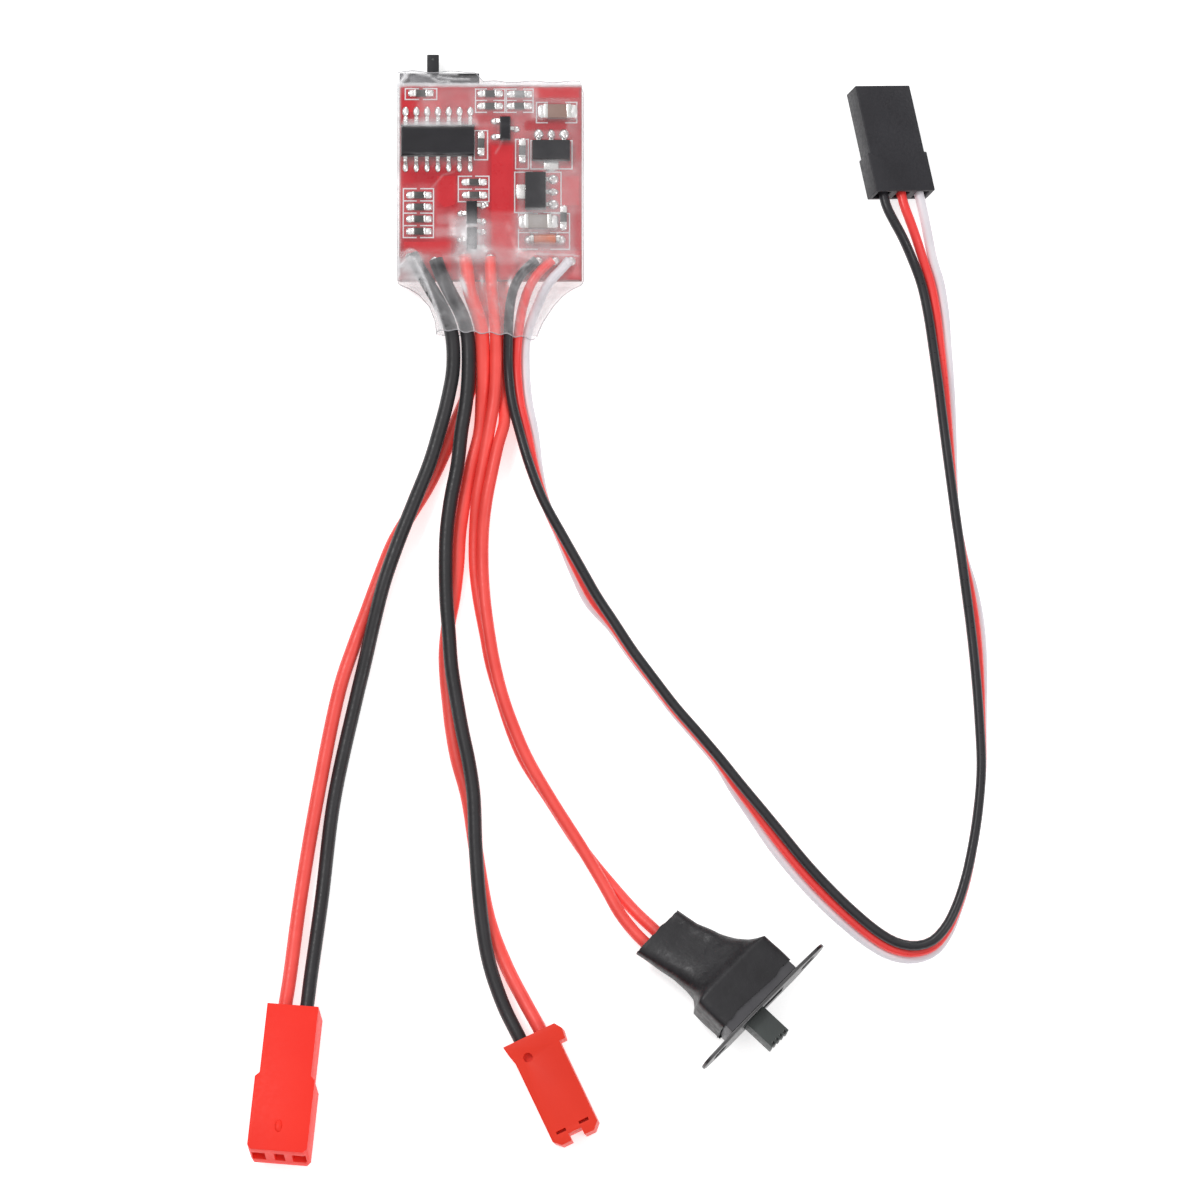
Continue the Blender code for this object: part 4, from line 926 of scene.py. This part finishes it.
def ridge(x, y, route, width):
    """1 on the route, falling off over width on both sides."""
    best = np.zeros(x.shape)
    for (x0, y0), (x1, y1) in zip(route, route[1:]):
        span = (x1 - x0) ** 2 + (y1 - y0) ** 2
        along = np.clip(((x - x0) * (x1 - x0) + (y - y0) * (y1 - y0)) / span, 0.0, 1.0)
        away = np.hypot(x - x0 - along * (x1 - x0), y - y0 - along * (y1 - y0))
        best = np.maximum(best, np.exp(-(away / width) ** 2))
    return best


# Creases in the film: the line each follows, its width, its rise and how milky it is. The milk along a crease
# is a painted highlight on the fold.
CREASES = (
    (((-10.4, -10.0), (-9.6, -9.3), (-8.9, -9.5), (-8.1, -10.9), (-7.1, -13.2), (-6.25, -15.4),
      (-5.7, -17.2)), 0.16, 0.35, 0.62),
    (((-10.2, -8.6), (-9.3, -8.35), (-8.4, -8.6)), 0.35, 0.3, 0.35),
    (((5.4, -8.75), (10.3, -8.85)), 0.12, 0.08, 0.30),
    (((-10.6, 12.1), (-10.0, 13.3), (-9.2, 13.7), (-8.0, 13.3), (-7.2, 13.1)), 0.20, 0.30, 0.72),
    (((-10.5, 12.3), (-9.9, 12.9), (-10.2, 13.6)), 0.16, 0.25, 0.65),
    (((-6.9, 12.75), (-6.2, 12.35), (-4.9, 12.3)), 0.13, 0.20, 0.55),
    (((-6.2, 12.95), (-4.2, 12.65), (-2.6, 12.6)), 0.11, 0.20, 0.60),
    (((-6.0, 13.35), (-4.0, 13.3)), 0.12, 0.15, 0.60),
    (((0.6, 3.6), (1.4, 5.0)), 0.10, 0.05, 0.18),
    (((-6.9, -0.6), (-5.6, 1.0), (-4.2, 1.4)), 0.10, 0.05, 0.14),
)


# Where the film clings to the board: how closely, then left, right, bottom, top and the soft edge
CLING = (
    (0.95, 0.2, 2.6, -3.0, 4.2), (0.9, -9.8, -4.2, 0.4, 1.2, 0.9), (0.85, -5.8, -4.4, -2.6, 0.5),
    (0.7, -9.8, -4.6, -8.0, -7.2, 1.0), (0.8, -10.3, -9.4, 8.2, 10.2, 0.9), (0.7, 4.4, 8.6, 6.6, 7.0, 0.6),
    (0.6, 6.0, 10.2, 10.5, 11.0, 0.6),
)
# Where it is milky over the board, and round its edges: the same columns, with the milk first
BOARD_MILK = (
    (0.36, -3.8, -1.0, -8.4, -5.4, 1.6), (0.16, -6.0, -3.0, -4.6, -4.2, 0.7),
    (0.18, -6.2, -3.0, -6.2, -5.7, 0.7), (0.13, -7.6, -2.4, 7.8, 11.0, 1.2),
    (0.10, -1.8, 4.8, 8.8, 11.2, 1.0), (0.22, -10.0, -1.8, 6.9, 7.3, 0.6), (0.10, 3.6, 9.4, -7.9, -3.7, 0.9),
    (0.10, 6.6, 10.6, -3.0, 2.0, 1.2), (0.07, 0.2, 2.8, -8.5, -5.5, 1.8), (0.16, -9.6, 9.8, -9.4, -8.3, 0.9),
    (0.08, 9.9, 10.4, -11.0, -9.6, 0.5),
)
EDGE_MILK = (
    (0.60, -10.9, 10.9, 11.75, 13.0, 0.25), (0.45, -11.1, -10.75, -11.0, 11.6, 0.25),
    (0.35, 10.85, 11.2, -8.0, 11.6, 0.2), (0.42, -10.8, -8.4, -11.4, -9.4, 0.8),
    (0.16, -9.8, -7.6, -13.4, -11.6, 0.7),
)
# Soft spots in the film: middle, half length, half width, turn in degrees, and how much milk or how clear.
# The milky spots are painted highlights on the film.
PAINTED_HIGHLIGHT_SPOTS = (
    (-3.1, -12.55, 1.1, 0.26, -72, 0.85), (-1.0, -11.95, 0.6, 0.2, -82, 0.5),
    (2.3, -11.95, 0.65, 0.2, 68, 0.45), (3.95, -10.1, 0.6, 0.22, 35, 0.3), (-6.2, 6.85, 4.4, 0.3, 0, 0.34),
    (5.6, -4.75, 1.6, 0.9, 0, 0.2), (5.2, -6.85, 1.2, 0.7, 0, 0.16), (-2.2, -6.9, 1.1, 1.6, 0, 0.34),
    (-2.2, -4.5, 0.9, 0.9, 0, 0.14), (3.45, 10.7, 1.4, 0.5, 0, 0.34), (3.75, 3.6, 0.6, 1.0, 0, 0.16),
    (-9.5, -10.2, 1.3, 0.7, -20, 0.3),
)
CLEAR_SPOTS = (
    (-5.65, -10.3, 1.1, 0.8, -30, 0.65), (-6.0, -12.8, 1.7, 0.16, -61, 0.7),
    (-4.3, -14.6, 1.1, 0.5, -65, 0.5), (-4.9, -16.2, 1.2, 0.2, -75, 0.3),
)


def spot(x, y, place_x, place_y, half_length, half_width, turn):
    """1 in the middle of a soft ellipse, falling off around it."""
    c, s = cos(radians(turn)), sin(radians(turn))
    along = (x - place_x) * c + (y - place_y) * s
    across = (y - place_y) * c - (x - place_x) * s
    return np.exp(-(along / half_length) ** 2 - (across / half_width) ** 2)


def cloud(x, y, scale, seed):
    """Smooth noise from -1 to 1 over arrays of places."""
    flat = [noise.noise(Vector((a * scale, b * scale, seed))) for a, b in zip(x.ravel(), y.ravel())]
    return np.array(flat).reshape(x.shape)


def film_sides(y):
    """The x of the film's left and right sides at y."""
    return np.interp(y, *zip(*FILM_LEFT)), np.interp(y, *zip(*FILM_RIGHT))


def surface_below(x, y, wires):
    """The top of what lies under the film, without the wires and with them."""
    under = np.full(x.shape, 0.15)

    def lay(x0, x1, y0, y1, top):
        inside = (x >= x0) & (x <= x1) & (y >= y0) & (y <= y1)
        under[inside] = np.maximum(under[inside], top)

    lay(-BOARD_W / 2, BOARD_W / 2, BOARD_Y0, BOARD_Y1, BOARD_TOP + 0.06)
    lay(*BRAKE_SHELL)
    tops = list(LARGE_PARTS)
    tops += [(px, py, 0.65, 1.4, 1.05) for px, py, _ in TRANSISTORS]
    tops += [(px, py, *((0.8, 0.4) if turn == 0 else (0.4, 0.8)), 0.55) for px, py, turn in CHIP_PARTS]
    for px, py, half_x, half_y, top in tops:
        lay(px - half_x, px + half_x, py - half_y, py + half_y, PART_Z + top + LAY_GAP)
    chips = under.copy()
    for _, diameter, points in wires.values():
        radius = diameter / 2
        for p in points:
            if -19.5 <= p.y <= -7.5 and p.x <= 12:
                near = np.hypot(x - p.x, y - p.y)
                crown = p.z + np.sqrt(np.maximum(radius ** 2 - near ** 2, 0.0)) + WIRE_GAP
                under = np.where(near < radius, np.maximum(under, crown), under)
    return chips, under


def film_height(x, y, chips, under):
    """The film stretched over what is below it, drawn down and creased. Also gives cling, neck and folds."""
    left, right = film_sides(y)
    shell_side = x < SHELL_SIDE
    rim = np.where(shell_side & (y > 12.2), SHELL_RIM, np.interp(y, RIM_Y, RIM_Z))
    outside = (x <= left) | (x >= right) | (y > np.where(shell_side, 13.8, 12.45)) | (y < -18.5)
    height = np.maximum(under, rim)
    for _ in range(SMOOTHING):
        mean = height.copy()
        mean[1:-1, 1:-1] = (height[2:, 1:-1] + height[:-2, 1:-1] + height[1:-1, 2:] + height[1:-1, :-2]) / 4
        height = np.where(outside, rim, np.maximum(under, mean))

    cling = np.zeros(x.shape)
    for amount, *box in CLING:
        cling = np.maximum(cling, amount * soft_box(x, y, *box))
    drawn = np.maximum(under, np.minimum(height, BOARD_TOP + 0.12))
    height = height * (1 - cling) + drawn * cling

    creases = cloud(x, y, 0.55, 3.0) + 0.5 * cloud(x, y, 1.3, 7.0)
    folds = 1 - np.abs(cloud(x + 0.35 * y, y * 0.35, 0.9, 11.0)) * 3.0
    folds = np.clip(folds, 0.0, 1.0) ** 3
    loose = np.clip((height - chips) / 0.6, 0.0, 1.0)
    neck = np.clip((-9.5 - y) / 3.0, 0.0, 1.0)
    height = height + 0.05 * creases * loose + 0.10 * neck * folds
    for route, width, rise, _ in CREASES:
        height = height + rise * ridge(x, y, route, width)
    return np.maximum(height, under), cling, neck, folds


def film_field(wires):
    """Height and haze of the film's upper side over a grid of places. Part of the haze is painted highlight.
    """
    xs = np.arange(*GRID_X, STEP)
    ys = np.arange(*GRID_Y, STEP)
    x, y = np.meshgrid(xs, ys)
    chips, under = surface_below(x, y, wires)
    height, cling, neck, folds = film_height(x, y, chips, under)

    gap = np.clip((height - under) / 0.9, 0.0, 1.0)
    milk_and_highlight = 0.04 + 0.09 * gap + 0.09 * soft_box(x, y, 3.2, 11.0, -9.0, 11.0, 1.2)
    for amount, *box in BOARD_MILK:
        milk_and_highlight = milk_and_highlight + amount * soft_box(x, y, *box)
    milk_and_highlight = milk_and_highlight * (1 - 0.85 * cling)
    on_part = np.clip((chips - BOARD_TOP - 0.5) / 0.3, 0.0, 1.0) * (1 - gap)
    milk_and_highlight = milk_and_highlight * (1 - 0.7 * on_part)
    for amount, *box in EDGE_MILK:
        milk_and_highlight = milk_and_highlight + amount * soft_box(x, y, *box)
    milk_and_highlight = milk_and_highlight * np.where((x < SHELL_SIDE) & (y > 12.1), 0.18, 1.0)
    # The neck is milkier, and the milk along its folds is a painted highlight.
    milk_and_highlight = milk_and_highlight + 0.14 * neck + 0.10 * folds * neck
    for *where, amount in CLEAR_SPOTS:
        milk_and_highlight = milk_and_highlight * (1 - amount * spot(x, y, *where))
    # Milky spots: painted highlights on the film.
    for *where, amount in PAINTED_HIGHLIGHT_SPOTS:
        milk_and_highlight = milk_and_highlight + amount * spot(x, y, *where)
    # The milk along each crease is a painted highlight on the fold.
    for route, width, _, amount in CREASES:
        milk_and_highlight = milk_and_highlight + amount * ridge(x, y, route, width)
    milk_and_highlight = 1 - np.sqrt(1 - np.clip(milk_and_highlight, 0.012, 0.9))
    return xs, ys, height, milk_and_highlight


def sample(xs, ys, field, x, y):
    """The field's value at one place, read between its grid points."""
    fx = min(max((x - xs[0]) / STEP, 0.0), len(xs) - 1.001)
    fy = min(max((y - ys[0]) / STEP, 0.0), len(ys) - 1.001)
    i, j = int(fx), int(fy)
    a, b = fx - i, fy - j
    low = field[j, i] * (1 - a) + field[j, i + 1] * a
    high = field[j + 1, i] * (1 - a) + field[j + 1, i + 1] * a
    return low * (1 - b) + high * b


def bead_mesh(points, radius):
    """A closed round bead along a line of places."""
    turns = [pi * i / 3 for i in range(6)]
    bm = bmesh.new()
    loops = []
    for k, at in enumerate(points):
        along = (points[min(k + 1, len(points) - 1)] - points[max(k - 1, 0)]).normalized()
        across = along.orthogonal().normalized()
        if abs(along.z) < 0.9:
            across = along.cross(Vector((0, 0, 1))).normalized()
        rise = across.cross(along)
        ring = [at + (across * cos(a) + rise * sin(a)) * radius for a in turns]
        loops.append([bm.verts.new(p * MM) for p in ring])
    bridge(bm, loops)
    bm.faces.new(loops[0])
    bm.faces.new(list(reversed(loops[-1])))
    return bm


FILM_ACROSS = 130
FILM_ALONG = 190
FILM_BELOW = 24
EDGE_STEPS = (0.35, 0.7, 0.93)


def film_ring(v, xs, ys, height, milk_and_highlight):
    """One loop round the film, v of the way along it, as x, y, z and haze, partly painted highlight: over the
    top, back underneath.
    """
    top = []
    for i in range(FILM_ACROSS + 1):
        u = i / FILM_ACROSS
        guess = -11.0 + 22.0 * u
        start = MOUTH_Y - MOUTH_SLANT * u + WAVE * sin(guess * 1.7)
        blend = min(max((guess + 1.6) / 0.9, 0.0), 1.0)
        end = END_OVER_SHELL * (1 - blend) + END_OVER_BOARD * blend + WAVE * sin(guess * 1.3 + 1.0)
        y = start + (end - start) * v
        left, right = film_sides(y)
        x = left + (right - left) * u
        top.append((x, y, sample(xs, ys, height, x, y), sample(xs, ys, milk_and_highlight, x, y)))
    y_low = BOTTOM_Y0 + (BOTTOM_Y1 - BOTTOM_Y0) * v
    left, right = film_sides(y_low)

    def edge(corner, x, outward):
        """The side from the top's corner down to the floor: it bulges, then turns in."""
        points = []
        for share in EDGE_STEPS:
            y = corner[1] * (1 - share) + y_low * share
            bulge = 0.06 * sin(share * pi) - 0.35 * share ** 4
            points.append((x + outward * bulge, y, max(corner[2] * (1 - share), 0.12), 0.14))
        return points

    bottom = []
    for i in range(FILM_BELOW + 1):
        x = (left + 0.6) + (right - left - 1.2) * (1 - i / FILM_BELOW)
        z = 0.05 + 0.04 * sin(x * 2.1) * sin(y_low * 1.3)
        bottom.append((x, y_low, z, 0.22 if y_low < BOARD_Y0 else 0.06))
    return top + edge(top[-1], right, 1) + bottom + edge(top[0], left, -1)[::-1]


def build_film(wires):
    """A closed sleeve of film: its upper side lies over the parts, its underside is flat on the surface."""
    field = film_field(wires)
    rings = [film_ring(j / FILM_ALONG, *field) for j in range(FILM_ALONG + 1)]
    count = len(rings[0])
    places = [[Vector(v[:3]) for v in ring] for ring in rings]
    upper = slice(0, FILM_ACROSS + 1)
    lower = slice(FILM_ACROSS + 4, count - 3)
    beads = (
        (places[-1][upper], 0.05), (places[0][upper], 0.05),
        ([ring[FILM_ACROSS + 2] for ring in places], 0.05), ([ring[count - 2] for ring in places], 0.05),
        (places[-1][lower], 0.05), (places[0][lower], 0.04),
    )
    piece("film_edges", merge([(bead_mesh(line, radius), 0) for line, radius in beads]), ("film_edge",))
    bm = bmesh.new()
    store = bm.verts.layers.float.new("haze_and_highlight")
    loops = []
    for j, ring in enumerate(rings):
        end_haze = 0.15 if j in (0, FILM_ALONG) else 0.0
        loop = []
        for x, y, z, haze_and_highlight in ring:
            vert = bm.verts.new(Vector((x, y, z)) * MM)
            vert[store] = min(0.85, haze_and_highlight + end_haze)
            loop.append(vert)
        loops.append(loop)
    bridge(bm, loops)
    skin_piece("clear_film", bm, "film", "clear_sleeve", 0.03, 0.0, 60.0)


# ---- plugs

CONTACT_PITCH = 2.5      # of the two-way plugs
SERVO_PITCH = 2.54
TOOL_LENGTH = 30.0       # a cut this long goes right through


def build_battery_plug():
    at = place((-22.6, -98.3, 3.05), yaw=-95.8, pitch=-8.5, roll=4.5)
    long, step, narrow, wide, half = 17.7, 8.4, 3.0, 3.5, 2.8
    outline = (
        (0, -narrow), (step, -narrow), (step + 0.5, -wide), (long - 0.5, -wide), (long, -wide + 0.4),
        (long, wide - 0.4), (long - 0.5, wide), (step + 0.5, wide), (step, narrow), (0, narrow),
    )
    cuts = [box_mesh((TOOL_LENGTH, 2.1, 2.5), (-0.2, side * CONTACT_PITCH / 2, 0)) for side in (-1, 1)]
    cuts += [box_mesh((6.0, width, 2.6), (long, y, 0)) for y, width in ((-2.35, 1.6), (0.1, 1.2), (2.4, 1.6))]
    piece("battery_plug", prism_mesh(outline, -half, half), ("battery_red",),
          ("battery_plug_housing",), at=at, cuts=cuts, soften=0.28)
    piece("battery_plug_key", dome_mesh((long - 3.0, -0.1, half - 0.05), (1.6, 0.9, 0.28)), ("battery_red",),
          at=at)


def build_motor_plug():
    at = place((4.8, -101.2, 3.05), yaw=-64.6, pitch=2.0, roll=5.0)
    long, half_w, half_t = 13.2, 2.875, 2.3
    outline = (
        (0, -half_w - 0.5), (1.2, -half_w - 0.3), (2.4, -half_w), (long - 0.8, -half_w),
        (long, -half_w + 0.8), (long, -0.85), (long - 0.9, -0.85), (long - 0.9, 0.85), (long, 0.85),
        (long, half_w - 0.8), (long - 0.8, half_w), (2.1, half_w), (2.1, half_w + 0.75),
        (0.9, half_w + 0.95), (0, half_w + 0.35),
    )
    cuts = [box_mesh((20.0, 2.1, 2.3), (1.0, side * CONTACT_PITCH / 2, 0)) for side in (-1, 1)]
    cuts += [box_mesh((0.35, 1.2, 2.0), (long - 1.5, side * 1.45, half_t)) for side in (-1, 1)]
    cuts.append(prism_mesh(circle(2.3, -1.25, 0.55, 20), half_t - 0.8, half_t + 0.5))
    piece("motor_plug", prism_mesh(outline, -half_t, half_t), ("motor_red",),
          ("motor_plug_housing",), at=at, cuts=cuts, soften=0.26)


def build_receiver_plug():
    along = Vector((-0.195, 0.965, -0.1737)).normalized()
    up = Vector((0.4, 0.24, 0.885))
    across = up.cross(along).normalized()
    up = along.cross(across)
    at = Matrix((along, across, up)).transposed().to_4x4()
    at.translation = Vector((48.3, -1.66, 5.05)) * MM
    long, full, body, flange, half = 13.6, 3.9, 3.6, 5.0, 1.3
    outline = ((0, -full), (flange, -full), (flange, -body), (long, -body),
               (long, body), (flange, body), (flange, full), (0, full))
    cuts = [box_mesh((TOOL_LENGTH, 1.65, 1.75), (5.0, y, 0)) for y in (SERVO_PITCH, 0.0, -SERVO_PITCH)]
    piece("receiver_plug", prism_mesh(outline, -half, half), ("plug_black",),
          ("receiver_plug_housing",), at=at, cuts=cuts, soften=0.12)


# ---- power switch

def facing_x(bm):
    turn = Matrix(((0, 0, 1, 0), (1, 0, 0, 0), (0, 1, 0, 0), (0, 0, 0, 1)))
    bmesh.ops.transform(bm, matrix=turn, verts=bm.verts)
    return bm


POWER_TRAVEL = 3.4
EAR_HOLE_X = 7.5
EAR_HOLE_R = 1.1


def build_power_switch():
    at = place((31.97, -97.93, 3.9), yaw=-43.4, roll=-9.0)
    plate_t, half_l, half_h, ear = 0.4, 10.3, 2.8, 2.0
    depth, width, height, wall = 5.0, 10.9, 5.4, 0.35
    outline = []
    for end, start in ((1, -90), (-1, 90)):
        centre = end * (half_l - ear)
        outline.append((centre - end * 2.6, -end * half_h))
        for step in range(13):
            a = radians(start + 15 * step)
            outline.append((centre + ear * cos(a), ear * sin(a)))
        outline.append((centre - end * 2.6, end * half_h))
    plate = facing_x(prism_mesh(outline, -plate_t, 0.0))
    lever_w, lever_t = 2.9, 2.4
    slot = (3.0, lever_w + POWER_TRAVEL + 2 * CLEARANCE, lever_t + 2 * CLEARANCE)
    holes = [facing_x(prism_mesh(circle(side * EAR_HOLE_X, 0.0, EAR_HOLE_R, 24), -2.0, 1.0))
             for side in (-1, 1)]
    piece("power_switch_bracket", plate, ("plate",), (), at=at,
          cuts=[box_mesh(slot, (0, 0, 0))] + holes, soften=0.06)
    shell = box_mesh((depth - plate_t, width, height), (-(depth + plate_t) / 2, 0, 0))
    inner = box_mesh((depth + 2, width - 2 * wall, height - 2 * wall), (-depth / 2, 0, 0))
    piece("power_switch_shell", shell, ("steel",), ("power_switch_frame",), at=at,
          cuts=[inner], soften=0.08)

    rest = at @ Matrix.Translation((0, -POWER_TRAVEL / 2 * MM, 0))
    flange_x0 = -plate_t - CLEARANCE
    lever_x0 = flange_x0 - 0.3
    lever_x1 = 4.0
    lever = box_mesh((lever_x1 - lever_x0, lever_w, lever_t), ((lever_x1 + lever_x0) / 2, 0, 0))
    grooves = [box_mesh((0.9, 0.32, 3.4), (lever_x1, (i - 1.5) * 0.64, 0)) for i in range(4)]
    piece("power_lever", lever, ("lever_grey",), ("power_slider",), body=POWER_BODY, at=rest,
          cuts=grooves, soften=0.1)
    flange = box_mesh((1.2, 6.6, height - 2 * (wall + CLEARANCE)), (flange_x0 - 0.6, 0, 0), bevel=0.06)
    piece("power_lever_flange", flange, ("lever_grey",), body=POWER_BODY, at=rest)
    build_power_sleeve(at)


# Stations of the switch's shrink sleeve: x, middle y, half width, middle z and half height
SLEEVE_STATIONS = (
    (-15.2, -1.9, 3.65, -1.0, 1.35), (-12.5, -1.5, 3.6, -0.8, 1.6), (-9.8, -0.95, 3.85, -0.5, 2.0),
    (-7.9, -0.5, 4.2, -0.2, 2.35), (-6.7, -0.2, 4.6, -0.05, 2.65), (-6.1, -0.1, 5.1, 0.0, 2.95),
    (-5.6, 0.0, 5.85, 0.0, 3.15), (-4.6, 0.0, 5.9, 0.0, 3.15), (-1.5, 0.0, 5.9, 0.0, 3.15),
)
SQUARE_FROM = -5.8


def build_power_sleeve(at):
    """A shrink sleeve, square over the switch and round on the wires, with creases and two cut ends."""
    at_x, *columns = zip(*SLEEVE_STATIONS)
    steps = 60
    rounds = 56
    ragged_ends = {0: 0.22, steps: 0.5}
    bm = bmesh.new()
    loops = []
    for j in range(steps + 1):
        x = at_x[0] + (at_x[-1] - at_x[0]) * j / steps
        y, half_y, z, half_z = (np.interp(x, at_x, column) for column in columns)
        power = 0.22 + 0.45 * min(1.0, max(0.0, SQUARE_FROM - x) / 3)
        loop = []
        for i in range(rounds):
            a = 2 * pi * (i + 0.5) / rounds
            c, s = cos(a), sin(a)
            py = y + (half_y - 0.05) * copysign(abs(c) ** power, c)
            pz = z + (half_z - 0.05) * copysign(abs(s) ** power, s)
            crease = 0.09 * noise.noise(Vector((x * 0.45, py * 0.55, pz * 0.6)))
            ragged = ragged_ends.get(j, 0.0) * noise.noise(Vector((py * 1.1, pz * 1.4, 5.0)))
            spot_on = at @ (Vector((x + ragged, py + crease * c, pz + crease * s)) * MM)
            spot_on.z = max(spot_on.z, 0.1 * MM)
            loop.append(bm.verts.new(at.inverted() @ spot_on))
        loops.append(loop)
    bridge(bm, loops)
    skin_piece("power_switch_shrink", bm, "shrink", "power_switch_sleeve", 0.22, -1.0, 50.0,
               at)


# The CAD nodes that stay, and the material of each
CAD_LOOKS = {
    "battery_contact_1": "contact", "battery_contact_2": "contact", "motor_pin_1": "contact",
    "motor_pin_2": "contact", "receiver_contact_1": "brass", "receiver_contact_2": "brass",
    "receiver_contact_3": "brass", "power_switch_base": "laminate", "power_moving_contact": "copper",
    "power_terminal_1": "contact", "power_terminal_2": "contact", "power_terminal_3": "contact",
}


def dress_cad():
    for node, look in CAD_LOOKS.items():
        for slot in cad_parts[node].material_slots:
            slot.material = MATS[look]


def main():
    build_camera()
    MATS.update(build_materials())
    wires = build_wires()
    build_studio()
    build_board()
    build_ink()
    build_parts()
    build_wire_joints()
    build_brake_switch()
    build_film(wires)
    build_battery_plug()
    build_motor_plug()
    build_receiver_plug()
    build_power_switch()
    dress_cad()


main()
bpy.context.view_layer.update()
